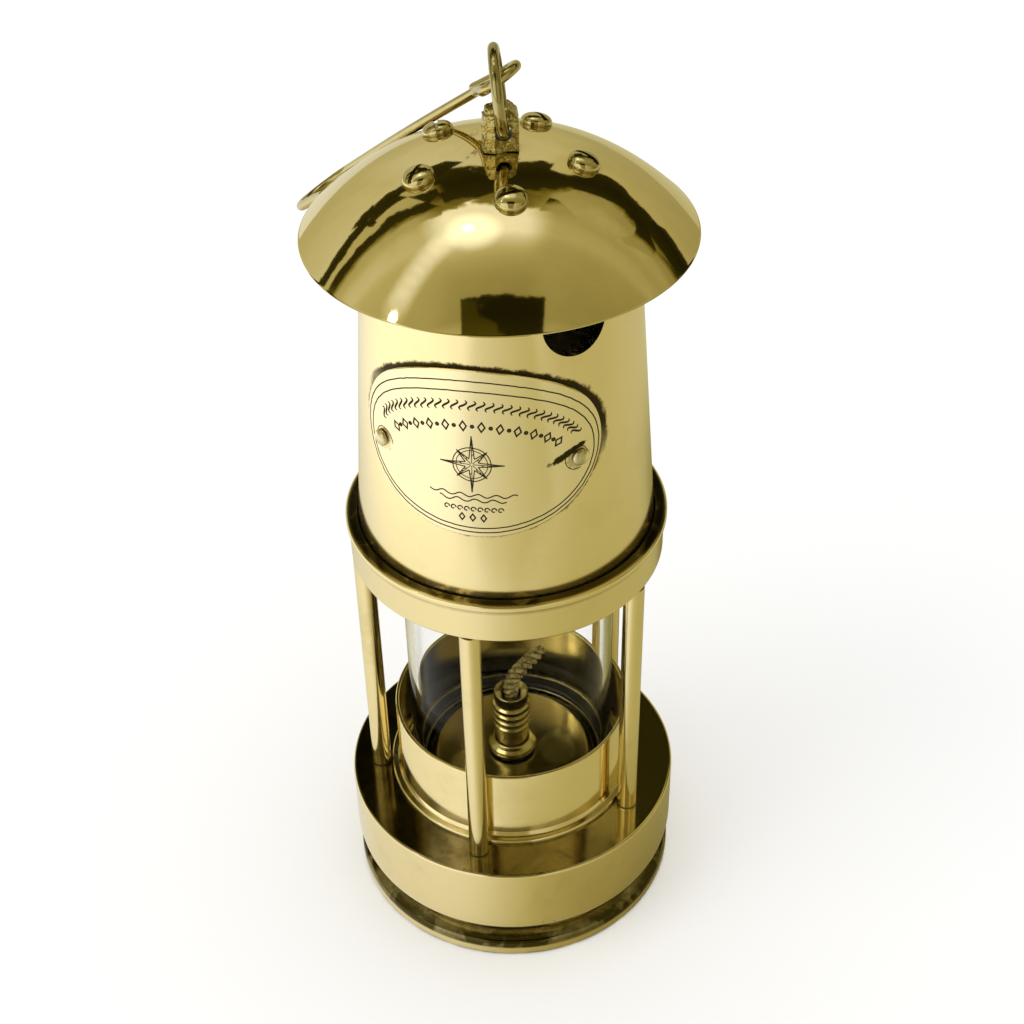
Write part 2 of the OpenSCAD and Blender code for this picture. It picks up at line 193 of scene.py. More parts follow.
def lathe(name, points, seg=None, matrix=None, cutters=(), warp=None):
    """Closed turned mesh with exact shading normals, drilled by cutters (objects, removed after use)."""
    seg = seg or SEG
    prof = clean_profile(points)
    n = len(prof)
    az = [2 * math.pi * j / seg for j in range(seg)]
    verts, index = [], []
    for r, z in prof:
        if r < 1e-6:
            index.append([len(verts)] * seg)
            verts.append((0, 0, z))
        else:
            index.append(list(range(len(verts), len(verts) + seg)))
            for a in az:
                rr, zz = warp(r, z, a) if warp else (r, z)
                verts.append((rr * math.cos(a), rr * math.sin(a), zz))
    faces = []
    for i in range(n):
        p, q = index[i], index[(i + 1) % n]
        pr, qr = prof[i][0] < 1e-6, prof[(i + 1) % n][0] < 1e-6
        if pr and qr:
            continue
        for j in range(seg):
            k = (j + 1) % seg
            if pr:
                faces.append((p[j], q[k], q[j]))
            elif qr:
                faces.append((p[j], p[k], q[j]))
            else:
                faces.append((p[j], p[k], q[k], q[j]))
    ob = new_object(name, verts, faces)
    for c in cutters:
        m = ob.modifiers.new("cut", "BOOLEAN")
        m.operation, m.solver, m.object = "DIFFERENCE", "EXACT", c
    if cutters:
        applied(ob)
        for c in cutters:
            bpy.data.objects.remove(c)
    if warp:
        smooth(ob, 30)
    else:
        turned_normals(ob, prof)
    if matrix is not None:
        place(ob, matrix)
    return ob


def turned_normals(ob, prof):
    me = ob.data
    me.polygons.foreach_set("use_smooth", [True] * len(me.polygons))
    p, first, last = profile_normals(prof)
    d = np.roll(p, -1, 0) - p
    l2 = np.maximum((d ** 2).sum(1), 1e-12)
    co = np.zeros(len(me.vertices) * 3)
    me.vertices.foreach_get("co", co)
    co = co.reshape(-1, 3) / MM
    nf = len(me.polygons)
    centre, fn = np.zeros(nf * 3), np.zeros(nf * 3)
    me.polygons.foreach_get("center", centre)
    me.polygons.foreach_get("normal", fn)
    centre, fn = centre.reshape(-1, 3) / MM, fn.reshape(-1, 3)
    lv = np.zeros(len(me.loops), int)
    me.loops.foreach_get("vertex_index", lv)
    starts, totals = np.zeros(nf, int), np.zeros(nf, int)
    me.polygons.foreach_get("loop_start", starts)
    me.polygons.foreach_get("loop_total", totals)
    rc = np.hypot(centre[:, 0], centre[:, 1])
    cx, sx = centre[:, 0] / np.maximum(rc, 1e-9), centre[:, 1] / np.maximum(rc, 1e-9)
    fr, fz = fn[:, 0] * cx + fn[:, 1] * sx, fn[:, 2]
    en = np.stack([d[:, 1], -d[:, 0]], 1) / np.sqrt(l2)[:, None]
    best, bestd = np.full(nf, -1), np.full(nf, 1e9)
    for k in range(len(p)):
        if l2[k] < 1e-8:
            continue
        t = np.clip(((rc - p[k, 0]) * d[k, 0] + (centre[:, 2] - p[k, 1]) * d[k, 1]) / l2[k], 0, 1)
        dist = np.hypot(rc - p[k, 0] - t * d[k, 0], centre[:, 2] - p[k, 1] - t * d[k, 1])
        good = (fr * en[k, 0] + fz * en[k, 1] > 0.94) & (dist < bestd)
        best[good], bestd[good] = k, dist[good]
    ok = (best >= 0) & (bestd < 0.12)
    normals = np.zeros((len(lv), 3))
    face_of = np.repeat(np.arange(nf), totals)
    order = np.concatenate([np.arange(s, s + t) for s, t in zip(starts, totals)]) if nf else np.zeros(0, int)
    fo = np.zeros(len(lv), int)
    fo[order] = face_of
    v = co[lv]
    r = np.hypot(v[:, 0], v[:, 1])
    e = best[fo]
    ev = np.maximum(e, 0)
    t = np.clip(((r - p[ev, 0]) * d[ev, 0] + (v[:, 2] - p[ev, 1]) * d[ev, 1]) / l2[ev], 0, 1)[:, None]
    nn = first[ev] * (1 - t) + last[ev] * t
    nn /= np.maximum(np.linalg.norm(nn, axis=1), 1e-9)[:, None]
    pole = r < 1e-4
    ca = np.where(pole, cx[fo], v[:, 0] / np.maximum(r, 1e-9))
    sa = np.where(pole, sx[fo], v[:, 1] / np.maximum(r, 1e-9))
    normals[:, 0], normals[:, 1], normals[:, 2] = nn[:, 0] * ca, nn[:, 0] * sa, nn[:, 1]
    normals[pole] = np.stack([np.zeros(pole.sum()), np.zeros(pole.sum()), np.sign(nn[pole, 1] + 1e-12)], 1)
    bad = ~ok[fo]
    if bad.any():
        by_vert = {}
        for i in np.nonzero(bad)[0]:
            by_vert.setdefault(lv[i], []).append(fo[i])
        for i in np.nonzero(bad)[0]:
            f = fn[fo[i]]
            s = sum(fn[g] for g in by_vert[lv[i]] if fn[g] @ f > 0.8)
            normals[i] = s / max(np.linalg.norm(s), 1e-9)
    me.normals_split_custom_set([tuple(x) for x in normals])
    me.update()


def place(ob, matrix):
    """Bakes a millimetre matrix into the mesh, shading normals included."""
    m = matrix.copy()
    m.translation = m.translation * MM
    me = ob.data
    if me.has_custom_normals:
        rot = m.to_3x3()
        ns = [tuple(rot @ Vector(c.vector)) for c in me.corner_normals]
        me.transform(m)
        me.normals_split_custom_set(ns)
    else:
        me.transform(m)
    me.update()
    return ob


def cylinder_cutter(radius, p0, p1, seg=72):
    a, b = Vector(p0), Vector(p1)
    q = (b - a).to_track_quat("Z", "Y").to_matrix()
    verts, faces = [], []
    for end in (a, b):
        for j in range(seg):
            t = 2 * math.pi * j / seg
            verts.append(end + q @ Vector((radius * math.cos(t), radius * math.sin(t), 0)))
    for j in range(seg):
        k = (j + 1) % seg
        faces.append((j, k, seg + k, seg + j))
    faces.append(tuple(reversed(range(seg))))
    faces.append(tuple(range(seg, 2 * seg)))
    return new_object("cutter", verts, faces)


def box_cutter(size, matrix=None):
    x, y, z = [s / 2 for s in size]
    verts = [Vector((a, b, c)) for a in (-x, x) for b in (-y, y) for c in (-z, z)]
    if matrix is not None:
        verts = [matrix @ v for v in verts]
    return new_object("cutter", verts, [(0, 1, 3, 2), (4, 6, 7, 5), (0, 4, 5, 1), (2, 3, 7, 6), (0, 2, 6, 4), (1, 5, 7, 3)])


def tube(name, path, radius, ring=28, closed=False, section=None, cap=True, twist=None):
    """Swept closed mesh along path. radius: number or list. section(k, angle) scales the radius."""
    pts = [np.array(p, float) for p in path]
    n = len(pts)
    rad = [float(radius)] * n if np.isscalar(radius) else list(radius)
    tan = []
    for i in range(n):
        a = pts[(i - 1) % n] if closed or i > 0 else pts[i]
        b = pts[(i + 1) % n] if closed or i < n - 1 else pts[i]
        tan.append((b - a) / np.linalg.norm(b - a))
    up = np.array([0, 0, 1.0]) if abs(tan[0][2]) < 0.9 else np.array([1.0, 0, 0])
    u = np.cross(up, tan[0])
    u /= np.linalg.norm(u)
    frames = []
    for i in range(n):
        if i:
            u = u - tan[i] * (u @ tan[i])
            u /= np.linalg.norm(u)
        frames.append((u.copy(), np.cross(tan[i], u)))
    turn = 0.0
    if closed:
        u2 = frames[-1][0] - tan[0] * (frames[-1][0] @ tan[0])
        u2 /= np.linalg.norm(u2)
        turn = -math.atan2(u2 @ frames[0][1], u2 @ frames[0][0])
    verts, faces, rows = [], [], []

    def add_ring(c, u, w, r, k, rot):
        row = list(range(len(verts), len(verts) + ring))
        for j in range(ring):
            a = 2 * math.pi * j / ring
            s = r * (section(k, a) if section else 1.0)
            verts.append(c + s * (math.cos(a + rot) * u + math.sin(a + rot) * w))
        rows.append(row)

    if cap and not closed:
        for q in (80, 60, 40, 20):
            c = pts[0] - tan[0] * rad[0] * 0.8 * math.sin(math.radians(q))
            add_ring(c, *frames[0], rad[0] * math.cos(math.radians(q)), 0, twist[0] if twist else 0)
    for i in range(n):
        add_ring(pts[i], *frames[i], rad[i], i, (twist[i] if twist else 0) + (turn * i / n if closed else 0))
    if cap and not closed:
        for q in (20, 40, 60, 80):
            c = pts[-1] + tan[-1] * rad[-1] * 0.8 * math.sin(math.radians(q))
            add_ring(c, *frames[-1], rad[-1] * math.cos(math.radians(q)), n - 1, twist[-1] if twist else 0)
    m = len(rows)
    for i in range(m if closed else m - 1):
        a, b = rows[i], rows[(i + 1) % m]
        for j in range(ring):
            k = (j + 1) % ring
            faces.append((a[j], a[k], b[k], b[j]))
    if not closed:
        faces.append(tuple(reversed(rows[0])))
        faces.append(tuple(rows[-1]))
    return smooth(new_object(name, verts, faces), 50)


def joined(name, objs):
    """One mesh out of several."""
    verts, faces, base = [], [], 0
    for o in objs:
        verts += [v.co.copy() for v in o.data.vertices]
        faces += [[base + i for i in p.vertices] for p in o.data.polygons]
        base = len(verts)
        bpy.data.objects.remove(o)
    return new_object(name, verts, faces, 1.0)


# ---------------------------------------------------------------- materials
class Nodes:
    """Short hand for building a node tree."""

    def __init__(self, tree):
        self.t = tree
        self.t.nodes.clear()

    def add(self, kind, **kw):
        n = self.t.nodes.new(kind)
        for k, v in kw.items():
            setattr(n, k, v)
        return n

    def put(self, value, socket):
        if hasattr(value, "is_linked"):
            self.t.links.new(value, socket)
        else:
            socket.default_value = value

    def math(self, op, a, b=None, c=None, clamp=False):
        n = self.add("ShaderNodeMath", operation=op, use_clamp=clamp)
        self.put(a, n.inputs[0])
        if b is not None:
            self.put(b, n.inputs[1])
        if c is not None:
            self.put(c, n.inputs[2])
        return n.outputs[0]

    def step(self, v, lo, hi):
        n = self.add("ShaderNodeMapRange", interpolation_type="SMOOTHSTEP")
        self.put(v, n.inputs["Value"])
        self.put(lo, n.inputs["From Min"])
        self.put(hi, n.inputs["From Max"])
        return n.outputs["Result"]

    def noise(self, vec, scale, detail=3.0, rough=0.5, distortion=0.0):
        n = self.add("ShaderNodeTexNoise")
        self.put(vec, n.inputs["Vector"])
        n.inputs["Scale"].default_value = scale
        n.inputs["Detail"].default_value = detail
        n.inputs["Roughness"].default_value = rough
        n.inputs["Distortion"].default_value = distortion
        return n.outputs["Fac"]

    def combine(self, x, y, z):
        n = self.add("ShaderNodeCombineXYZ")
        for v, s in zip((x, y, z), n.inputs):
            self.put(v, s)
        return n.outputs[0]

    def split(self, vec):
        n = self.add("ShaderNodeSeparateXYZ")
        self.put(vec, n.inputs[0])
        return n.outputs

    def dot(self, vec, const):
        n = self.add("ShaderNodeVectorMath", operation="DOT_PRODUCT")
        self.put(vec, n.inputs[0])
        n.inputs[1].default_value = const
        return n.outputs["Value"]

    def mix(self, f, a, b):
        n = self.add("ShaderNodeMix", data_type="RGBA")
        self.put(f, n.inputs[0])
        self.put(a, n.inputs[6])
        self.put(b, n.inputs[7])
        return n.outputs[2]

    def scale(self, col, f):
        n = self.add("ShaderNodeVectorMath", operation="SCALE")
        self.put(col, n.inputs[0])
        self.put(f, n.inputs["Scale"])
        return n.outputs[0]

    def ramp(self, f, stops, mode="LINEAR"):
        n = self.add("ShaderNodeValToRGB")
        cr = n.color_ramp
        cr.interpolation = mode
        while len(cr.elements) < len(stops):
            cr.elements.new(0.5)
        for e, (pos, col) in zip(cr.elements, stops):
            e.position = pos
            e.color = col if len(col) == 4 else (*col, 1)
        self.put(f, n.inputs[0])
        return n.outputs[0]

    def bump(self, height, distance, strength=1.0, normal=None):
        n = self.add("ShaderNodeBump")
        n.inputs["Strength"].default_value = strength
        n.inputs["Distance"].default_value = distance
        self.put(height, n.inputs["Height"])
        if normal is not None:
            self.put(normal, n.inputs["Normal"])
        return n.outputs[0]


def tree(name):
    m = bpy.data.materials.new(name)
    m.use_nodes = True
    return m, Nodes(m.node_tree)


def common(n):
    pos = n.add("ShaderNodeTexCoord").outputs["Object"]
    x, y, z = n.split(pos)
    r = n.math("SQRT", n.math("ADD", n.math("MULTIPLY", x, x), n.math("MULTIPLY", y, y)))
    az = n.math("ARCTAN2", y, x)
    return pos, x, y, z, r, az


BRASS = (0.80, 0.675, 0.345)


def brass(name, tint=BRASS, rough=0.09, tarnish=0.25, grime_and_shade=0.8, wave=1.0, marks=1.0, pits=0.5, local=None, inside=0.0, extra=None, ao=0.0025, lift=0.0, stain_and_dark_reflection=None):
    """Polished brass: turning marks, slight ripple, dull patches, soiling with painted shade in corners, small pits."""
    mat, n = tree(name)
    pos, x, y, z, r, az = common(n)
    if local:
        x2, y2 = n.math("SUBTRACT", x, local[0]), n.math("SUBTRACT", y, local[1])
        r = n.math("SQRT", n.math("ADD", n.math("MULTIPLY", x2, x2), n.math("MULTIPLY", y2, y2)))
        az = n.math("ARCTAN2", y2, x2)
    rings = n.noise(n.combine(n.math("MULTIPLY", r, 5200), n.math("MULTIPLY", z, 5200), n.math("MULTIPLY", az, 1.2)), 1.0, 3, 0.6)
    big = n.noise(pos, 48, 4, 0.55, 0.4)
    mid = n.noise(pos, 210, 4, 0.6, 0.8)
    fine = n.noise(pos, 1500, 3, 0.6)
    # painted shade mixed with soiling: ambient occlusion marks corners and creases, a noise mask breaks it up, and the
    # colour there goes towards near black
    a = n.add("ShaderNodeAmbientOcclusion")
    a.samples = 5
    a.inputs["Distance"].default_value = ao
    crevice_shade = n.step(a.outputs["AO"], 0.72, 0.25)
    patch = n.math("MULTIPLY", n.step(n.math("ADD", n.math("MULTIPLY", big, 0.65), n.math("MULTIPLY", mid, 0.35)), 0.50, 0.68), tarnish)
    crevice_dirt_and_shade = n.math("MULTIPLY", n.math("MULTIPLY", crevice_shade, grime_and_shade), n.step(n.math("ADD", mid, n.math("MULTIPLY", fine, 0.3)), 0.38, 0.72), clamp=True)
    vor = n.add("ShaderNodeTexVoronoi")
    n.put(pos, vor.inputs["Vector"])
    vor.inputs["Scale"].default_value = 520
    pit = n.math("MULTIPLY", n.step(vor.outputs["Distance"], 0.13, 0.05), n.math("MULTIPLY", n.step(n.noise(pos, 75, 2), 0.60, 0.72), pits), clamp=True)
    dark = n.math("MAXIMUM", crevice_dirt_and_shade, pit)
    if extra:
        dark = n.math("MAXIMUM", dark, extra(n, pos, x, y, z, mid, fine))
    col = n.mix(patch, (*tint, 1), (tint[0] * 0.62, tint[1] * 0.58, tint[2] * 0.42, 1))
    col = n.mix(n.math("MULTIPLY", rings, 0.10), col, (tint[0] * 0.7, tint[1] * 0.66, tint[2] * 0.55, 1))
    if stain_and_dark_reflection:
        # stains, and on the tops of the skirt and foot a painted dark reflection, turn the colour to a near-black brass
        # tone
        col = n.mix(stain_and_dark_reflection(n, pos, x, y, z, mid, fine), col, (tint[0] * 0.085, tint[1] * 0.078, tint[2] * 0.04, 1))
    # the dark mask holds the painted crevice shade with soiling, the pits and any extra marks
    col = n.mix(dark, col, (0.045, 0.032, 0.008, 1))
    rg = n.math("ADD", n.math("ADD", rough, n.math("MULTIPLY", n.math("SUBTRACT", mid, 0.5), rough * 0.6)), n.math("MULTIPLY", patch, 0.13))
    rg = n.math("ADD", rg, n.math("MULTIPLY", dark, 0.4), clamp=True)
    if inside > 0:
        geo = n.add("ShaderNodeNewGeometry")
        nx, ny, nz = n.split(geo.outputs["Normal"])
        face = n.math("ADD", n.math("MULTIPLY", nx, x), n.math("MULTIPLY", ny, y))
        soot = n.math("MULTIPLY", n.step(face, 0.0, -0.004), inside)
        soot = n.math("MULTIPLY", soot, n.math("ADD", 0.75, n.math("MULTIPLY", n.step(big, 0.42, 0.62), 0.25)))
        col = n.mix(soot, col, (0.022, 0.017, 0.005, 1))
        rg = n.math("ADD", rg, n.math("MULTIPLY", soot, 0.3), clamp=True)
    base = None
    if lift:
        # wall drawn in very slightly towards the top
        geo = n.add("ShaderNodeNewGeometry")
        nx, ny, nz = n.split(geo.outputs["Normal"])
        out_ = n.step(n.math("ADD", n.math("MULTIPLY", nx, x), n.math("MULTIPLY", ny, y)), 0.0, 0.004)
        wall_ = n.math("MULTIPLY", out_, n.step(n.math("ABSOLUTE", nz), 0.5, 0.2))
        up_ = n.add("ShaderNodeVectorMath", operation="ADD")
        n.put(geo.outputs["Normal"], up_.inputs[0])
        n.put(n.combine(0.0, 0.0, n.math("MULTIPLY", wall_, lift)), up_.inputs[1])
        unit = n.add("ShaderNodeVectorMath", operation="NORMALIZE")
        n.put(up_.outputs[0], unit.inputs[0])
        base = unit.outputs[0]
    b = n.bump(n.noise(pos, 34, 2, 0.45), 1.5e-4 * wave, normal=base) if base is not None else n.bump(n.noise(pos, 34, 2, 0.45), 1.5e-4 * wave)
    b = n.bump(rings, 1.1e-6 * marks, normal=b)
    b = n.bump(mid, 6e-6 * wave, normal=b)
    b = n.bump(n.math("SUBTRACT", 1.0, dark), 2.0e-5, normal=b)
    bs = n.add("ShaderNodeBsdfPrincipled")
    n.put(col, bs.inputs["Base Color"])
    n.put(rg, bs.inputs["Roughness"])
    bs.inputs["Metallic"].default_value = 1.0
    n.put(b, bs.inputs["Normal"])
    out = n.add("ShaderNodeOutputMaterial")
    n.put(bs.outputs[0], out.inputs["Surface"])
    return mat


def dull(name, c1, c2, rough=0.6, metallic=0.0, scale=400, bump=4e-5, sheen=0.0, stretch=None):
    """Matt or cast surface with two tones, the darker one also laid in as painted shade in corners and creases."""
    mat, n = tree(name)
    pos, x, y, z, r, az = common(n)
    vec = pos if stretch is None else n.combine(n.math("MULTIPLY", x, stretch[0]), n.math("MULTIPLY", y, stretch[1]), n.math("MULTIPLY", z, stretch[2]))
    f = n.noise(vec, scale, 5, 0.6, 0.3)
    g = n.noise(pos, scale * 3.3, 3, 0.6)
    a = n.add("ShaderNodeAmbientOcclusion")
    a.samples = 4
    a.inputs["Distance"].default_value = 0.002
    # painted shade: the darker tone goes where ambient occlusion finds corners and creases, besides the random noise
    # patches
    k = n.math("MULTIPLY", n.step(f, 0.35, 0.65), n.step(a.outputs["AO"], 0.2, 0.75))
    col = n.mix(k, (*c2, 1), (*c1, 1))
    bs = n.add("ShaderNodeBsdfPrincipled")
    n.put(col, bs.inputs["Base Color"])
    n.put(n.math("ADD", rough, n.math("MULTIPLY", n.math("SUBTRACT", g, 0.5), 0.25), clamp=True), bs.inputs["Roughness"])
    bs.inputs["Metallic"].default_value = metallic
    if not metallic:
        bs.inputs["Specular IOR Level"].default_value = 0.12
    if sheen:
        bs.inputs["Sheen Weight"].default_value = sheen
    b = n.bump(f, bump)
    b = n.bump(g, bump * 0.4, normal=b)
    n.put(b, bs.inputs["Normal"])
    out = n.add("ShaderNodeOutputMaterial")
    n.put(bs.outputs[0], out.inputs["Surface"])
    return mat


def glass_material():
    mat, n = tree("lamp_glass")
    pos, x, y, z, r, az = common(n)
    bs = n.add("ShaderNodeBsdfPrincipled")
    f = n.noise(pos, 90, 4, 0.6)
    col = n.mix(n.step(f, 0.5, 0.8), (0.985, 0.99, 0.975, 1), (0.95, 0.95, 0.91, 1))
    n.put(col, bs.inputs["Base Color"])
    n.put(n.math("MULTIPLY", n.step(f, 0.55, 0.8), 0.03), bs.inputs["Roughness"])
    bs.inputs["IOR"].default_value = 1.1
    bs.inputs["Specular Tint"].default_value = (0.22, 0.18, 0.08, 1)
    bs.inputs["Transmission Weight"].default_value = 1.0
    n.put(n.bump(n.noise(pos, 60, 2, 0.4), 6e-5), bs.inputs["Normal"])
    tr = n.add("ShaderNodeBsdfTransparent")
    tr.inputs[0].default_value = (0.97, 0.98, 0.96, 1)
    lp = n.add("ShaderNodeLightPath")
    mx = n.add("ShaderNodeMixShader")
    n.put(n.math("MAXIMUM", lp.outputs["Is Shadow Ray"], lp.outputs["Is Diffuse Ray"]), mx.inputs[0])
    n.put(bs.outputs[0], mx.inputs[1])
    n.put(tr.outputs[0], mx.inputs[2])
    out = n.add("ShaderNodeOutputMaterial")
    n.put(mx.outputs[0], out.inputs["Surface"])
    return mat


T = math.radians(PLATE_AZ)
TX, TY = -math.sin(T), math.cos(T)
R_PLATE = bonnet_at(PLATE_Z)


def plate_coords(n, x, y, z):
    """(arc, height) in metres from the middle of the plate."""
    u = n.math("ADD", n.math("MULTIPLY", x, TX), n.math("MULTIPLY", y, TY))
    s = n.math("MULTIPLY", n.math("ARCSINE", n.math("DIVIDE", u, R_PLATE * MM)), R_PLATE * MM)
    return s, n.math("SUBTRACT", z, PLATE_Z * MM)


def plate_rim_shade_and_dirt(n, pos, x, y, z, mid, fine):
    """Painted shade with old polish round the plate, spilt on the bonnet: a dark line close along the plate's edge and
    a wider band along its upper edge.
    """
    s, h = plate_coords(n, x, y, z)
    e = n.math("SQRT", n.math("ADD", n.math("POWER", n.math("DIVIDE", s, PLATE_W / 2 * MM), 2.0), n.math("POWER", n.math("DIVIDE", h, PLATE_H / 2 * MM), 2.0)))
    edge = n.math("ADD", e, n.math("MULTIPLY", n.math("SUBTRACT", n.noise(pos, 420, 4, 0.7), 0.5), 0.10))
    band = n.step(edge, 1.058, 1.022)
    upper = n.step(n.math("ADD", h, n.math("MULTIPLY", s, 0.22)), -0.003, 0.008)
    front = n.step(n.math("ADD", n.math("MULTIPLY", x, math.cos(T)), n.math("MULTIPLY", y, math.sin(T))), 0.0, 0.004)
    # painted shade: thin dark line right round the plate's edge
    low = n.math("MULTIPLY", n.step(edge, 1.03, 1.005), 0.75)
    return n.math("MULTIPLY", n.math("MAXIMUM", n.math("MULTIPLY", band, upper), low), front, clamp=True)


def streak(n, s, h, s0, h0, angle, a, b, wob):
    c, d = math.cos(math.radians(angle)), math.sin(math.radians(angle))
    ds, dh = n.math("SUBTRACT", s, s0 * MM), n.math("SUBTRACT", h, h0 * MM)
    p = n.math("DIVIDE", n.math("ADD", n.math("MULTIPLY", ds, c), n.math("MULTIPLY", dh, d)), a * MM)
    q = n.math("DIVIDE", n.math("SUBTRACT", n.math("MULTIPLY", dh, c), n.math("MULTIPLY", ds, d)), b * MM)
    e = n.math("SQRT", n.math("ADD", n.math("MULTIPLY", p, p), n.math("MULTIPLY", q, q)))
    return n.step(n.math("ADD", e, wob), 1.15, 0.8)


def plate_dirt(n, pos, x, y, z, mid, fine):
    s, h = plate_coords(n, x, y, z)
    wob = n.math("MULTIPLY", n.math("SUBTRACT", n.noise(pos, 900, 4, 0.7), 0.5), 1.6)
    rs, rh = R_PLATE * math.radians(40.3), -2.5
    m = streak(n, s, h, rs - 2.2, rh + 1.2, 24, 3.6, 0.75, wob)
    m = n.math("MAXIMUM", m, streak(n, s, h, rs + 0.3, rh + 2.3, 20, 1.7, 0.55, wob))
    m = n.math("MAXIMUM", m, n.math("MULTIPLY", streak(n, s, h, rs, rh, 0, 2.25, 2.25, wob), 0.35))
    m = n.math("MAXIMUM", m, n.math("MULTIPLY", streak(n, s, h, -rs, rh, 0, 2.1, 2.1, wob), 0.25))
    return m


def dome_dirt(n, pos, x, y, z, mid, fine):
    """Dull smears round the crown of the hood."""
    r = n.math("SQRT", n.math("ADD", n.math("MULTIPLY", x, x), n.math("MULTIPLY", y, y)))
    f = n.noise(pos, 130, 5, 0.65, 1.2)
    return n.math("MULTIPLY", n.math("MULTIPLY", n.step(f, 0.56, 0.66), n.step(r, 0.012, 0.005)), 0.45)


def skirt_top_dirt_and_dark_reflection(n, pos, x, y, z, mid, fine):
    """Specks and stains on the flat top of the skirt, with a painted dark reflection, heaviest at the left and lighter
    at the right.
    """
    f = n.noise(pos, 330, 5, 0.7, 1.0)
    g = n.noise(pos, 95, 4, 0.65, 0.8)
    flat = n.step(z, (SKIRT_Z1 - 0.25) * MM, (SKIRT_Z1 - 0.05) * MM)
    # painted dark reflection: darker at the left, lighter at the right, as the top mirrors dark surroundings
    body = n.math("ADD", 0.50, n.math("MULTIPLY", n.step(x, 0.010, -0.024), 0.34))
    body = n.math("SUBTRACT", body, n.math("MULTIPLY", n.math("MULTIPLY", n.step(x, 0.010, 0.024), n.step(y, -0.034, -0.018)), 0.62))
    body = n.math("ADD", body, n.math("MULTIPLY", n.math("SUBTRACT", g, 0.5), 0.8))
    body = n.math("ADD", body, n.math("MULTIPLY", n.step(f, 0.56, 0.70), 0.22), clamp=True)
    return n.math("MULTIPLY", n.math("MINIMUM", body, 0.93), flat)


def foot_stain_and_dark_reflection(n, pos, x, y, z, mid, fine):
    """Stains and a painted dark reflection on the top of the foot, with clearer patches."""
    f = n.noise(n.combine(x, y, n.math("MULTIPLY", z, 0.6)), 105, 3, 0.6, 0.3)
    g = n.noise(pos, 300, 4, 0.65, 0.8)
    top = n.step(z, 2.0 * MM, 2.7 * MM)
    low = n.step(z, 5.3 * MM, 4.1 * MM)
    # painted dark reflection over the whole top, heavier in noise patches on the lower slope
    body = n.math("ADD", 0.78, n.math("MULTIPLY", n.math("MULTIPLY", n.step(f, 0.46, 0.55), low), 0.30))
    body = n.math("ADD", body, n.math("MULTIPLY", n.math("SUBTRACT", g, 0.5), 0.5))
    clear = n.math("MULTIPLY", n.step(n.noise(pos, 60, 2), 0.60, 0.70), 0.28)
    return n.math("MULTIPLY", n.math("SUBTRACT", body, clear), top, clamp=True)


def tank_top_dirt(n, pos, x, y, z, mid, fine):
    """Oil and soot on the top of the tank, wiped clear in two places."""
    f = n.noise(pos, 170, 4, 0.6, 0.6)

    def wiped(cx, cy, a, b):
        u = n.math("DIVIDE", n.math("SUBTRACT", x, cx * MM), a * MM)
        v = n.math("DIVIDE", n.math("SUBTRACT", y, cy * MM), b * MM)
        e = n.math("SQRT", n.math("ADD", n.math("MULTIPLY", u, u), n.math("MULTIPLY", v, v)))
        return n.step(n.math("ADD", e, n.math("MULTIPLY", n.math("SUBTRACT", f, 0.5), 1.2)), 1.15, 0.85)

    clear = n.math("MAXIMUM", wiped(10.0, -1.0, 4.0, 5.0), wiped(-10.5, -4.5, 3.4, 3.6))
    return n.math("SUBTRACT", 0.55, n.math("MULTIPLY", clear, 0.54), clamp=True)


def gallery_top_dark(n, pos, x, y, z, mid, fine):
    """Near-black tone over the flat top of the gallery ring, fading out towards its outer edge, and down the inner wall
    by the bonnet, lighter in patches.
    """
    r = n.math("SQRT", n.math("ADD", n.math("MULTIPLY", x, x), n.math("MULTIPLY", y, y)))
    f = n.noise(pos, 190, 4, 0.7, 0.8)
    m = n.math("MULTIPLY", n.step(r, (GAL_R + 0.25) * MM, (GAL_R - 0.4) * MM), n.step(z, (GAL_Z1 - 2.6) * MM, (GAL_Z1 - 2.0) * MM))
    return n.math("MULTIPLY", m, n.math("SUBTRACT", 0.96, n.math("MULTIPLY", n.step(f, 0.56, 0.68), 0.5)), clamp=True)


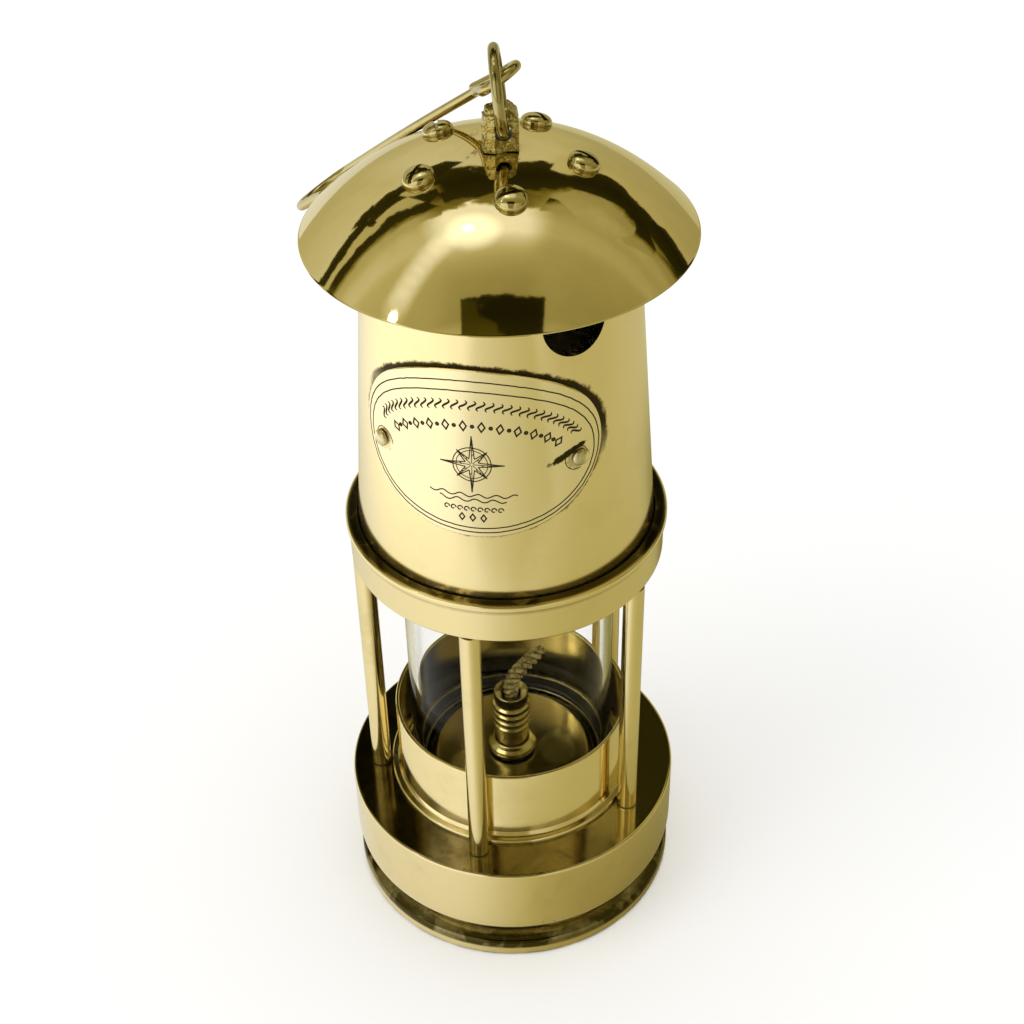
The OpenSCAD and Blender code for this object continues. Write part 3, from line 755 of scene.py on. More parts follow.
M = {
    "hood": brass("brass_hood", rough=0.045, wave=0.8, tarnish=0.10, pits=0.35, marks=0.8, inside=0.0, extra=dome_dirt),
    "bonnet": brass("brass_bonnet", rough=0.15, wave=0.9, tarnish=0.12, pits=0.15, inside=1.35, extra=plate_rim_shade_and_dirt),
    "gallery": brass("brass_gallery", rough=0.12, wave=0.35, tarnish=0.15, pits=0.3, stain_and_dark_reflection=gallery_top_dark),
    "skirt": brass("brass_skirt", rough=0.11, wave=0.35, tarnish=0.25, pits=0.8, stain_and_dark_reflection=skirt_top_dirt_and_dark_reflection),
    "foot": brass("brass_foot", rough=0.09, wave=0.4, tarnish=0.3, pits=0.7, stain_and_dark_reflection=foot_stain_and_dark_reflection),
    "collar": brass("brass_collar", rough=0.12, wave=0.4, tarnish=0.2, pits=0.4, inside=0.04, lift=0.27),
    "plate": brass("brass_plate", tint=(0.84, 0.73, 0.42), rough=0.17, wave=0.35, tarnish=0.08, marks=0.2, pits=0.1, grime_and_shade=0.3, extra=plate_dirt),
    "screw": brass("brass_screw", tint=(0.56, 0.475, 0.21), rough=0.09, wave=0.3, tarnish=0.4, marks=0.0, grime_and_shade=1.0, pits=0.8, ao=0.0016),
    "ring": brass("brass_ring", tint=(0.38, 0.32, 0.13), rough=0.15, wave=0.4, tarnish=0.7, marks=0.0, grime_and_shade=1.0, pits=1.0, ao=0.0016),
    "hook": brass("brass_hook", tint=(0.46, 0.385, 0.16), rough=0.16, wave=0.5, tarnish=0.7, marks=0.0, grime_and_shade=1.0, pits=1.0, ao=0.0016),
    "burner": brass("brass_burner", tint=(0.56, 0.47, 0.20), rough=0.2, wave=0.4, tarnish=0.8, marks=1.5, pits=0.6),
    "tank_top": brass("brass_tank_top", tint=(0.76, 0.66, 0.36), rough=0.2, wave=0.8, tarnish=0.4, marks=1.5, pits=0.4, stain_and_dark_reflection=tank_top_dirt),
    "inner": brass("brass_inner", tint=(0.12, 0.095, 0.035), rough=0.34, wave=0.6, tarnish=0.8, marks=1.0, pits=0.5),
    "cast": brass("brass_cast", tint=(0.42, 0.35, 0.13), rough=0.20, wave=2.6, tarnish=0.8, marks=0.0, grime_and_shade=1.0, pits=1.0, ao=0.0018),
    "steel": dull("steel_plain", (0.46, 0.45, 0.42), (0.2, 0.18, 0.15), 0.33, 1.0, 500, 1e-5),
    "seal": dull("seal_fibre", (0.045, 0.04, 0.033), (0.02, 0.018, 0.015), 0.8, 0.0, 1500, 5e-5),
    "ink": dull("plate_fill", (0.028, 0.02, 0.008), (0.012, 0.009, 0.004), 0.6, 0.0, 2500, 2e-6),
    "wick": dull("wick_cotton", (0.40, 0.31, 0.10), (0.10, 0.07, 0.018), 0.9, 0.0, 900, 1.2e-4),
    "glass": glass_material(),
}
for i in range(5):
    a = math.radians(ROD_AZ + 72 * i)
    M["rod%d" % i] = brass("brass_rod_%d" % (i + 1), rough=0.14, wave=0.5, tarnish=0.35, marks=0.9, pits=0.6,
                           local=(ROD_C * MM * math.cos(a), ROD_C * MM * math.sin(a)))

body_of = {n: b for b, ns in frame["record"]["behaviour"]["bodies"].items() for n in ns}
slot_of = {}
for node in frame["record"].get("nodes", []):
    if isinstance(node, dict) and node.get("material_slot"):
        slot_of[node["name"]] = node["material_slot"]


def finish_piece(ob, node, mat):
    ob.data.materials.clear()
    ob.data.materials.append(M[mat])
    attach(ob, body_of[node])
    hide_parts(node)
    return ob


# ---------------------------------------------------------------- tank and burner
tank_r, tank_top_z = 31.95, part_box("tank_top")[1].z / MM - 7.6
foot = [(0, 0), (30.8, 0), (31.2, 0.25), (34.2, 0.25), (34.55, 0)] + spline([(34.9, 0.0), (35.45, 0.16), (35.69, 0.6), (FOOT_R, 1.1)], 5) + rounded([(FOOT_R, 1.6), (FOOT_R, 3.85, 1.25), (32.4, 5.4, 0.2), (32.3, 3.0)], 8)[1:-1]
thread_z0, thread_z1 = 7.45, 16.6
wall = [(tank_r - 0.35, 5.6), (tank_r - 0.35, 7.0)] + [(tank_r, thread_z0 + (thread_z1 - thread_z0) * i / 60) for i in range(61)] + [(tank_r, tank_top_z - 0.3), (tank_r - 0.3, tank_top_z)]


def thread(r, z, a):
    if r > tank_r - 0.001 and thread_z0 - 0.01 < z < thread_z1 + 0.01:
        f = ((z - 1.5 * a / (2 * math.pi)) / 1.5) % 1.0
        fade = min(1.0, (z - thread_z0) / 0.6, (thread_z1 - z) / 0.6)
        return r - 0.6 * max(0.0, fade) * (1 - abs(2 * f - 1)), z
    return r, z


o = lathe("fuel_tank_shell", foot + wall + [(30.0, tank_top_z), (30, 3), (29.5, 2.3), (28.8, 2), (0, 2)], seg=256, warp=thread)
finish_piece(o, "fuel_tank", "foot")

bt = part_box("tank_top")[1].z / MM
o = lathe("tank_top_plate", rounded([(3.25, bt, 0.1), (16.9, bt, 0.9), (18.6, bt - 1.2, 0.9), (18.6, bt - 6.5, 0.5), (31.9, bt - 6.5, 0.15), (31.9, bt - 7.6, 0.1),
                                    (17.6, bt - 7.6, 0.3), (17.6, bt - 1.5, 0.5), (4.6, bt - 1, 0.1), (4.6, bt - 6, 0.2), (3.25, bt - 6, 0.1)]))
finish_piece(o, "tank_top", "tank_top")

b0 = bt + 0.8
ridge = []
for i in range(4):
    z = b0 + 6 + 1.9 * i
    ridge += [(3.55, z - 0.05, 0.1), (4.1, z + 0.35, 0.25), (4.1, z + 1.35, 0.25), (3.55, z + 1.75, 0.1)]
o = lathe("burner_tube", rounded([(2.1, bt - 5.5), (3.2, bt - 5.5, 0.1), (3.2, b0), (5.3, b0, 0.2), (5.4, b0 + 1.2, 0.4), (4.6, b0 + 1.7, 0.4), (3.7, b0 + 2.1, 0.5)]
                                 + ridge + [(3.7, b0 + 14.0, 0.2), (3.7, BURN_Z1 - 0.01, 0.45), (3.0, BURN_Z1 - 0.35, 0.25), (2.1, BURN_Z1 - 0.9, 0.2)]), seg=160)
finish_piece(o, "burner", "burner")

# wick: a laid cord that stands in the burner and flops over to one side
wa = math.radians(45)
path, s_along = [], []
z = 8.0
while z < BURN_Z1 + 0.6:
    path.append((0.0, z))
    z += 0.35
bend = 3.4
for i in range(1, 17):
    q = math.radians(72) * i / 16
    path.append((bend * (1 - math.cos(q)), BURN_Z1 + 0.6 + bend * math.sin(q)))
lx, lz = path[-1]
for i in range(1, 19):
    q = math.radians(72) + math.radians(14) * i / 18
    lx += 0.42 * math.sin(q)
    lz += 0.42 * math.cos(q)
    path.append((lx, lz))
pts = [(p[0] * math.cos(wa), p[0] * math.sin(wa), p[1]) for p in path]
k0 = next(i for i, p in enumerate(pts) if p[2] > BURN_Z1)
radii = []
for i, p in enumerate(pts):
    base = 1.72 if p[2] < BURN_Z1 - 1 and i < k0 else 1.78
    tail = max(0.0, (i - (len(pts) - 7)) / 7)
    radii.append(base * (1 - 0.45 * tail ** 1.5))


def strand(k, a):
    p = pts[k]
    w = abs(((a + math.pi / 3) % (2 * math.pi / 3)) - math.pi / 3)
    d, s = 0.84, 0.96
    f = (d * math.cos(w) + math.sqrt(max(0, s * s - (d * math.sin(w)) ** 2))) / (d + s)
    fuzz = noise.noise(Vector((a * 5.0, k * 0.35, 1.0))) * 0.035 + noise.noise(Vector((a * 17 + k * 0.9, k * 0.2, 5.0))) * 0.025
    return f * (0.965 + fuzz)


o = tube("wick_cord", pts, radii, ring=60, section=strand, twist=[0.52 * i for i in range(len(pts))])
end = np.array(pts[-1])
dirv = end - np.array(pts[-3])
dirv /= np.linalg.norm(dirv)
rng = np.random.RandomState(4)
hairs = []
for i in range(9):
    off = rng.normal(0, 0.5, 3)
    off -= dirv * (off @ dirv)
    p0 = end - dirv * 0.6 + off * 0.55
    pth = [p0 + dirv * 0.35 * j + off * 0.10 * j + np.array([0, 0, -0.012 * j * j]) for j in range(5)]
    hairs.append(tube("h", pth, [0.13, 0.12, 0.11, 0.09, 0.05], ring=8))
o = joined("wick_cord", [o] + hairs)
o.name = "wick_cord"
smooth(o, 60)
finish_piece(o, "wick", "wick")

# ---------------------------------------------------------------- skirt, collar, glass, cage
low = spline([(33.04, SKIRT_Z0), (34.45, SKIRT_Z0 + 1.05), (35.45, SKIRT_Z0 + 2.95), (35.9, SKIRT_Z0 + 4.6), (SKIRT_R, SKIRT_Z0 + 6.4)], 5)
body = [(32.25, SKIRT_Z0)] + low
body += rounded([(SKIRT_R, SKIRT_Z0 + 7), (SKIRT_R, SKIRT_Z1, 0.65), (22.55, SKIRT_Z1, 0.12), (22.55, SKIRT_Z1 - 3.5, 0.1), (32.0, SKIRT_Z1 - 3.5, 0.2), (32.0, SKIRT_Z0 + 0.25)])[1:]
cut = []
for i in range(5):
    a = math.radians(ROD_AZ + 72 * i)
    c, s = ROD_C * math.cos(a), ROD_C * math.sin(a)
    cut.append(cylinder_cutter(1.32, (c, s, SKIRT_Z1 - 5), (c, s, SKIRT_Z1 + 2)))
    cut.append(cylinder_cutter(2.4, (c, s, SKIRT_Z1 - 5), (c, s, SKIRT_Z1 - 2.35)))
o = lathe("base_skirt_ring", body, cutters=cut)
finish_piece(o, "base_skirt", "skirt")

z1 = SKIRT_Z1
o = lathe("glass_collar_ring", rounded([(21.5, z1 - 2.5, 0.1), (22.5, z1 - 2.5, 0.1), (22.5, z1), (27.2, z1 + 0.01, 0.1), (27.2, z1 + 1, 0.42), (25.75, z1 + 1, 0.25), (25.4, z1 + 1.9, 0.3),
                                       (25.4, COLLAR_Z1, 0.32), (24.5, COLLAR_Z1, 0.42), (24.5, z1 + 1, 0.3), (20, z1 + 1, 0.15), (20, z1 - 0.2, 0.1), (21.5, z1 - 0.2)]))
finish_piece(o, "glass_collar", "collar")

o = lathe("glass_chimney_tube", rounded([(GLASS_R - 1.8, GLASS_Z0, 0.7), (GLASS_R, GLASS_Z0, 0.7), (GLASS_R, GLASS_Z1, 0.7), (GLASS_R - 1.8, GLASS_Z1, 0.7)]))
finish_piece(o, "glass_chimney", "glass")
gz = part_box("glass_seat_washer")
o = lathe("glass_seat_seal", rounded([(20.2, gz[0].z / MM, 0.2), (23.6, gz[0].z / MM, 0.3), (23.6, gz[1].z / MM, 0.35), (20.2, gz[1].z / MM, 0.2)]))
finish_piece(o, "glass_seat_washer", "seal")

for i in range(5):
    a = math.radians(ROD_AZ + 72 * i)
    m = Matrix.Translation((ROD_C * math.cos(a), ROD_C * math.sin(a), 0))
    o = lathe("cage_rod_%d" % (i + 1), rounded([(0, SKIRT_Z1 + 6.5), (1.3, SKIRT_Z1 + 6.2, 0.05), (1.3, SKIRT_Z1 + 0.005, 0.05), (1.95, SKIRT_Z1 + 0.005, 0.15), (2.1, SKIRT_Z1 + 0.6, 0.4),
                                               (2.1, GAL_Z0, 0.05), (1.5, GAL_Z0 + 0.001), (1.5, GAL_Z0 + 4, 0.2), (0, GAL_Z0 + 4)]), seg=72, matrix=m)
    finish_piece(o, "cage_rods", "rod%d" % i)

gh = GAL_Z1 - GAL_Z0
cut = []
for i in range(5):
    a = math.radians(ROD_AZ + 72 * i)
    cut.append(cylinder_cutter(1.56, (ROD_C * math.cos(a), ROD_C * math.sin(a), GAL_Z0 - 1), (ROD_C * math.cos(a), ROD_C * math.sin(a), GAL_Z0 + 4.3)))
o = lathe("gallery_ring_band", rounded([(22.6, GAL_Z0, 0.3), (GAL_R, GAL_Z0, 0.85), (GAL_R, GAL_Z1 - 1.75, 0.35), (GAL_R + 0.6, GAL_Z1 - 1.15, 0.3), (GAL_R + 0.6, GAL_Z1, 0.5), (BON_R + 0.35, GAL_Z1, 0.3),
                                       (BON_R + 0.1, GAL_Z1 - 0.8, 0.2), (BON_R + 0.1, BON_Z0, 0.05), (19.8, BON_Z0, 0.15), (19.8, GAL_Z0 + 2.8, 0.1), (22.6, GAL_Z0 + 2.8, 0.1)]), cutters=cut)
finish_piece(o, "gallery_ring", "gallery")

# ---------------------------------------------------------------- bonnet, plate, hood
cut = []
for i in range(3):
    a = math.radians(-60 + 120 * i)
    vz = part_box("bonnet")[1].z / MM - 9.3
    cut.append(cylinder_cutter(6.4, (15 * math.cos(a), 15 * math.sin(a), vz), (40 * math.cos(a), 40 * math.sin(a), vz), 128))
for d in (-40.3, 40.3):
    a = math.radians(PLATE_AZ + d)
    cut.append(cylinder_cutter(0.86, (20 * math.cos(a), 20 * math.sin(a), PLATE_Z - 2.5), (35 * math.cos(a), 35 * math.sin(a), PLATE_Z - 2.5), 32))
t = 0.9
o = lathe("bonnet_drum", rounded([(BON_R - t, BON_Z0, 0.1), (BON_R, BON_Z0, 0.1), (BON_R, KNEE, 0.8), (BON_TOP_R, BON_Z1, 0.2), (BON_TOP_R - t, BON_Z1, 0.2), (BON_R - t, KNEE, 0.8)]), cutters=cut)
finish_piece(o, "bonnet", "bonnet")

CONE = math.atan(SLOPE)


def on_plate(s, h, lift):
    """Point over the plate's face, from arc and height in its own plane."""
    zz = PLATE_Z + h
    rr = bonnet_at(zz) + 0.62
    a = math.asin(max(-1, min(1, R_PLATE * math.sin(s / R_PLATE) / rr))) + T
    rr += lift
    return (rr * math.cos(a), rr * math.sin(a), zz)


rings_n, around = 26, 176
shape = [(k / rings_n, 0.0) for k in range(rings_n)] + [(0.982, 0.0), (0.990, -0.03), (0.996, -0.09), (1.0, -0.2)]
verts, faces = [on_plate(0, 0, 0)], []
rows = []
for f, lift in shape[1:]:
    rows.append(list(range(len(verts), len(verts) + around)))
    for j in range(around):
        q = 2 * math.pi * j / around
        verts.append(on_plate(f * PLATE_W / 2 * math.cos(q), f * PLATE_H / 2 * math.sin(q), lift))
for f, lift in reversed(shape[1:]):
    rows.append(list(range(len(verts), len(verts) + around)))
    for j in range(around):
        q = 2 * math.pi * j / around
        verts.append(on_plate(f * PLATE_W / 2 * math.cos(q), f * PLATE_H / 2 * math.sin(q), -0.59))
last = len(verts)
verts.append(on_plate(0, 0, -0.59))
for j in range(around):
    k = (j + 1) % around
    faces.append((0, rows[0][j], rows[0][k]))
    faces.append((last, rows[-1][k], rows[-1][j]))
    for a, b in zip(rows[:-1], rows[1:]):
        faces.append((a[j], b[j], b[k], a[k]))
o = new_object("name_plate", verts, faces)
for d in (-40.3, 40.3):
    a = math.radians(PLATE_AZ + d)
    c = cylinder_cutter(0.86, (20 * math.cos(a), 20 * math.sin(a), PLATE_Z - 2.5), (35 * math.cos(a), 35 * math.sin(a), PLATE_Z - 2.5), 32)
    m = o.modifiers.new("cut", "BOOLEAN")
    m.operation, m.solver, m.object = "DIFFERENCE", "EXACT", c
applied(o)
for c in [x for x in bpy.data.objects if x.name.startswith("cutter")]:
    bpy.data.objects.remove(c)
me = o.data
me.polygons.foreach_set("use_smooth", [True] * len(me.polygons))
ns = [None] * len(me.loops)
for p in me.polygons:
    rad = Vector((p.center.x, p.center.y, 0)).normalized()
    side = p.normal.dot(rad)
    for li in p.loop_indices:
        v = me.vertices[me.loops[li].vertex_index].co
        rv = Vector((v.x, v.y, 0)).normalized()
        nn = (rv * math.cos(CONE) + Vector((0, 0, math.sin(CONE)))).normalized()
        if side > 0.97:
            ns[li] = tuple(nn)
        elif side < -0.97:
            ns[li] = tuple(-nn)
        else:
            ns[li] = tuple(p.normal)
me.normals_split_custom_set(ns)
finish_piece(o, "nameplate", "plate")


def ribbon(points, width, closed=False, lift=0.022, sink=-0.05):
    """Filled engraved line on the plate: a thin closed strip following (arc, height) points."""
    p = [np.array(q, float) for q in points]
    n = len(p)
    verts, faces = [], []
    for i in range(n):
        a = p[(i - 1) % n] if closed or i else p[i]
        b = p[(i + 1) % n] if closed or i < n - 1 else p[i]
        d = b - a
        d = d / max(np.linalg.norm(d), 1e-9)
        m = np.array([-d[1], d[0]])
        if closed or 0 < i < n - 1:
            e = p[i] - a
            e = e / max(np.linalg.norm(e), 1e-9)
            m = m / max(0.5, abs(m @ np.array([-e[1], e[0]])))
        w = width(i / max(1, n - 1)) if callable(width) else width
        l, r = p[i] + m * w / 2, p[i] - m * w / 2
        verts += [on_plate(*l, sink), on_plate(*l, lift), on_plate(*r, lift), on_plate(*r, sink)]
    for i in range(n if closed else n - 1):
        a, b = 4 * i, 4 * ((i + 1) % n)
        for j in range(4):
            k = (j + 1) % 4
            faces.append((a + j, a + k, b + k, b + j))
    if not closed:
        faces.append((3, 2, 1, 0))
        e = 4 * (n - 1)
        faces.append((e, e + 1, e + 2, e + 3))
    return verts, faces


lines = []


def ellipse(cx, cy, a, b, n=160):
    return [(cx + a * math.cos(2 * math.pi * i / n), cy + b * math.sin(2 * math.pi * i / n)) for i in range(n)]


def wob(pts, amp, seed):
    return [(x + amp * noise.noise(Vector((x * 1.1, y * 1.1, seed))), y + amp * noise.noise(Vector((x * 1.1, y * 1.1, seed + 9)))) for x, y in pts]


lines.append(ribbon(wob(ellipse(0, -0.55, 24.0, 15.75), 0.10, 1), 0.24, True))
lines.append(ribbon(wob(ellipse(0, -1.08, 22.95, 14.28), 0.10, 3), 0.24, True))


def arc_at(f, a, b, h0):
    """Point and direction on an upper elliptical arc, f from -1 to 1."""
    x = a * math.sin(f)
    y = h0 + b * math.cos(f)
    dx, dy = a * math.cos(f), -b * math.sin(f)
    k = math.hypot(dx, dy)
    return np.array([x, y]), np.array([dx / k, dy / k]), np.array([-dy / k, dx / k])


# upper row: rope border of slanting S strokes; second row: lozenges and dots
for i in range(31):
    f = -1.13 + 2.26 * i / 30
    c, t1, n1 = arc_at(f, 20.9, 12.6, -2.2)
    pts2 = [c + t1 * (0.50 * math.sin(q * math.pi) + q * 0.42) + n1 * q * 1.0 for q in [-1 + 2 * j / 10 for j in range(11)]]
    lines.append(ribbon(wob(pts2, 0.06, i), lambda u: 0.16 + 0.24 * math.sin(math.pi * u)))
for i in range(23):
    f = -0.98 + 1.96 * i / 22
    c, t1, n1 = arc_at(f, 18.6, 9.6, -3.4)
    if i % 2 == 0:
        q = [c + n1 * 0.95, c + t1 * 0.62, c - n1 * 0.95, c - t1 * 0.62]
        d = [q[0] * (1 - k) + q[1] * k for k in (0, 0.5)] + [q[1] * (1 - k) + q[2] * k for k in (0, 0.5)] + [q[2] * (1 - k) + q[3] * k for k in (0, 0.5)] + [q[3] * (1 - k) + q[0] * k for k in (0, 0.5)]
        lines.append(ribbon(d, 0.30, True))
    else:
        lines.append(ribbon([c + np.array([0.24 * math.cos(w), 0.24 * math.sin(w)]) for w in [2 * math.pi * j / 10 for j in range(10)]], 0.36, True))

# compass rose
CX, CY, CR = -0.2, -1.7, 5.9
lines.append(ribbon(wob(ellipse(CX, CY, 3.5, 3.5, 72), 0.07, 5), 0.2, True))
lines.append(ribbon(wob(ellipse(CX, CY, 2.9, 2.9, 72), 0.07, 6), 0.15, True))
for i in range(8):
    a = math.pi / 2 + i * math.pi / 4
    ln = CR if i % 2 == 0 else CR * 0.66
    tip = np.array([CX + ln * math.cos(a), CY + ln * math.sin(a)])
    lft = np.array([CX + 1.25 * math.cos(a + math.pi / 8), CY + 1.25 * math.sin(a + math.pi / 8)])
    rgt = np.array([CX + 1.25 * math.cos(a - math.pi / 8), CY + 1.25 * math.sin(a - math.pi / 8)])
    mid = np.array([CX + 0.25 * math.cos(a), CY + 0.25 * math.sin(a)])
    for p0, p1, w in ((lft, tip, 0.2), (rgt, tip, 0.2), (mid, tip * 0.95 + mid * 0.05, 0.14)):
        lines.append(ribbon(wob([tuple(p0 * (1 - k / 6) + p1 * k / 6) for k in range(7)], 0.05, i), w))
    # shaded half of each point
    for k in (0.25, 0.5, 0.75):
        lines.append(ribbon([tuple(rgt * (1 - k) + tip * k), tuple(mid * (1 - k) + tip * k)], 0.13))
# waves under the rose
for row, (h0, half) in enumerate(((-8.3, 8.2), (-9.35, 6.2))):
    pts2 = [(x, h0 + 0.34 * math.sin(x * 1.9 + row)) for x in np.linspace(CX - half, CX + half, 70)]
    lines.append(ribbon(wob(pts2, 0.08, 12 + row), 0.24))
# small scroll border and three lozenges at the foot
for i in range(9):
    x0 = -5.0 + 10.0 * i / 8 - 0.1
    pts2 = [(x0 + 0.55 * math.cos(q) * (1 - q / 9), -11.35 + 0.62 * math.sin(q) * (1 - q / 9)) for q in np.linspace(0, 5.6, 22)]
    lines.append(ribbon(pts2, 0.24))
for x0 in (-2.0, 0.0, 2.0):
    lines.append(ribbon([(x0 - 0.2, -13.1 + 0.75), (x0 + 0.5 - 0.2, -13.1), (x0 - 0.2, -13.1 - 0.75), (x0 - 0.5 - 0.2, -13.1)], 0.28, True))
# ring scratched round each rivet
for sgn in (-1, 1):
    lines.append(ribbon(wob(ellipse(sgn * R_PLATE * math.radians(40.3), -2.5, 2.35, 2.35, 48)[: 40 if sgn > 0 else 34], 0.1, 20 + sgn), 0.16))
verts, faces = [], []
for v, f in lines:
    b = len(verts)
    verts += v
    faces += [[b + i for i in q] for q in f]
o = new_object("name_plate_lines", verts, faces)
bm = bmesh.new()
bm.from_mesh(o.data)
bmesh.ops.recalc_face_normals(bm, faces=bm.faces)
bm.to_mesh(o.data)
bm.free()
o.data.materials.append(M["ink"])
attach(o, body_of["nameplate"])

# rivets
for i, d in enumerate((-40.3, 40.3)):
    a = math.radians(PLATE_AZ + d)
    rr = bonnet_at(PLATE_Z - 2.5)
    m = Matrix.Rotation(a, 4, "Z") @ Matrix.Translation((0, 0, PLATE_Z - 2.5)) @ Matrix.Rotation(math.pi / 2, 4, "Y")
    headz = rr + 0.79
    prof = [(0, rr - 1.8), (1.35, rr - 1.8, 0.2), (1.35, rr - 1.06, 0.1), (0.8, rr - 1.06), (0.8, headz), (1.66, headz, 0.08)]
    prof = rounded(prof) + [(1.66 * math.cos(q), headz + 0.08 + 0.95 * math.sin(q)) for q in [math.pi / 2 * k / 12 for k in range(1, 12)]] + [(0, headz + 1.03)]
    o = lathe("plate_rivet_%d" % (i + 1), prof, seg=64, matrix=m)
    finish_piece(o, "nameplate_rivets", "plate")

# hood
rs = [HOOD_R * math.sin(math.pi / 2 * i / 60) for i in range(61)]
outer = [(r, dome(r)) for r in rs if r < HOOD_R - 0.12]
inner_r = HOOD_R * (1 - 1.2 / HOOD_H) ** (1 / DOME_P)
rim = [(HOOD_R - 0.06, HOOD_Z + 0.12), (HOOD_R - 0.02, HOOD_Z + 0.05), (HOOD_R - 0.06, HOOD_Z + 0.015), (HOOD_R - 0.16, HOOD_Z + 0.002)]
inner = [(r * inner_r / HOOD_R, dome(r * inner_r / HOOD_R) - 1.2) for r in rs][::-1]
cut = [cylinder_cutter(2.06, (0, 0, APEX - 5), (0, 0, APEX + 3))]
hs = DOME_P * HOOD_H / HOOD_R * (SCREW_C / HOOD_R) ** (DOME_P - 1)
tilt = math.atan(hs)
screw_m = []
for i in range(5):
    m = Matrix.Rotation(math.radians(SCREW_AZ + 72 * i), 4, "Z") @ Matrix.Translation((SCREW_C, 0, dome(SCREW_C))) @ Matrix.Rotation(tilt, 4, "Y")
    screw_m.append(m)
    cut.append(cylinder_cutter(1.5, m @ Vector((0, 0, -4)), m @ Vector((0, 0, 2)), 48))
o = lathe("hood_dome", outer + rim + inner, seg=SEG + 64, cutters=cut)
finish_piece(o, "hood", "hood")

for i, m in enumerate(screw_m):
    slot_a = (35, 100, -20, 62, 140)[i]
    cutter = box_cutter((8, 0.72, 2.0), Matrix.Rotation(math.radians(slot_a), 4, "Z") @ Matrix.Translation((0, 0, 2.08)))
    head = [(2.9 * math.cos(q) ** 0.85 if q < math.pi / 2 - 1e-6 else 0.0, 0.34 + 1.60 * math.sin(q)) for q in [math.pi / 2 * k / 16 for k in range(17)]]
    prof = rounded([(0, -10.0), (1.2, -10.0, 0.1), (1.45, -9.7, 0.1), (1.45, 0.03), (2.86, 0.03, 0.12)]) + head
    o = lathe("hood_screw_%d" % (i + 1), prof, seg=112, matrix=m, cutters=[cutter])
    finish_piece(o, "hood_screws", "screw")

# ---------------------------------------------------------------- swivel lug
HX, HZ = 1.2, APEX + 3.57
parts = []
base = box_cutter((6.3, 3.6, 5.6), Matrix.Translation((HX - 0.55, 0.3, APEX + 0.07 + 2.8)))
top = cylinder_cutter(2.9, (HX - 0.3, 2.1, APEX + 5.5), (HX - 0.3, -1.3, APEX + 5.5), 64)
nut = cylinder_cutter(1.95, (HX - 2.05, -0.45, APEX + 0.08), (HX - 1.95, -0.55, APEX + 7.1), 6)
knob = cylinder_cutter(1.6, (HX - 1.9, -0.4, APEX + 6.2), (HX - 1.8, -0.4, APEX + 8.2), 9)
stem = cylinder_cutter(1.98, (0, 0, APEX - 5.28), (0, 0, APEX + 1), 64)
lug = joined("swivel_lug", [base, top, nut, knob, stem])
rm = lug.modifiers.new("r", "REMESH")
rm.mode, rm.voxel_size = "VOXEL", 0.00011
sm = lug.modifiers.new("s", "SMOOTH")
sm.factor, sm.iterations = 0.5, 7
applied(lug)
co = np.zeros(len(lug.data.vertices) * 3)
lug.data.vertices.foreach_get("co", co)
co = co.reshape(-1, 3)
nor = np.zeros(len(co) * 3)
lug.data.vertices.foreach_get("normal", nor)
nor = nor.reshape(-1, 3)
for i in range(len(co)):
    p = Vector(co[i]) / MM
    if p.z < APEX + 0.35:
        continue
    amp = 0.20 * (noise.noise(p * 0.75) - 0.35) + 0.07 * noise.noise(p * 2.6) + 0.025 * noise.noise(p * 7.0)
    if p.z > APEX + 5:
        amp -= 0.12 * abs(noise.noise(p * 1.3 + Vector((3, 1, 7)))) * (p.z - APEX - 5) / 4
    co[i] += nor[i] * min(amp, 0.03) * MM
lug.data.vertices.foreach_set("co", co.ravel())
lug.data.update()
drill = cylinder_cutter(1.5, (HX, 3, HZ), (HX, -3, HZ), 64)
m = lug.modifiers.new("cut", "BOOLEAN")
m.operation, m.solver, m.object = "DIFFERENCE", "EXACT", drill
applied(lug)
bpy.data.objects.remove(drill)
smooth(lug, 40)
finish_piece(lug, "swivel_post", "cast")

# ---------------------------------------------------------------- ring and hook
LEAN = math.radians(6)
to_hole = Matrix.Translation((HX, 0, HZ)) @ Matrix.Rotation(-LEAN, 4, "Y")
RR, WR, EYE_R, HOOK_L, CROOK = 7.1, 0.95, 3.6, 57.0, 6.5
rm4 = to_hole @ Matrix.Translation((0, 0, RR))
pts2 = []
rad2 = []
for i in range(168):
    q = 2 * math.pi * i / 168
    pts2.append(tuple(rm4 @ Vector((0, RR * math.cos(q), RR * math.sin(q)))))
    seam = abs(((q - 2.1 + math.pi) % (2 * math.pi)) - math.pi)
    rad2.append(WR * (0.985 + 0.012 * noise.noise(Vector((math.cos(q) * 3, math.sin(q) * 3, 0)))) * (0.93 if seam < 0.02 else 1.0))
o = tube("hanging_ring_wire", pts2, rad2, ring=36, closed=True)
finish_piece(o, "hanging_ring", "ring")

hk_lo, hk_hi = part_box("hook")
EA = math.radians(-7)
hook_m = rm4 @ Matrix.Translation((0, RR * math.cos(EA), RR * math.sin(EA))) @ Matrix.Rotation(LEAN, 4, "Y") @ Matrix.Rotation(math.radians(131.4), 4, "Z") \
    @ Matrix.Rotation(math.radians(36.8), 4, "Y") @ Matrix.Rotation(math.radians(-13.7), 4, "X")
w = 0.93
pts2 = []
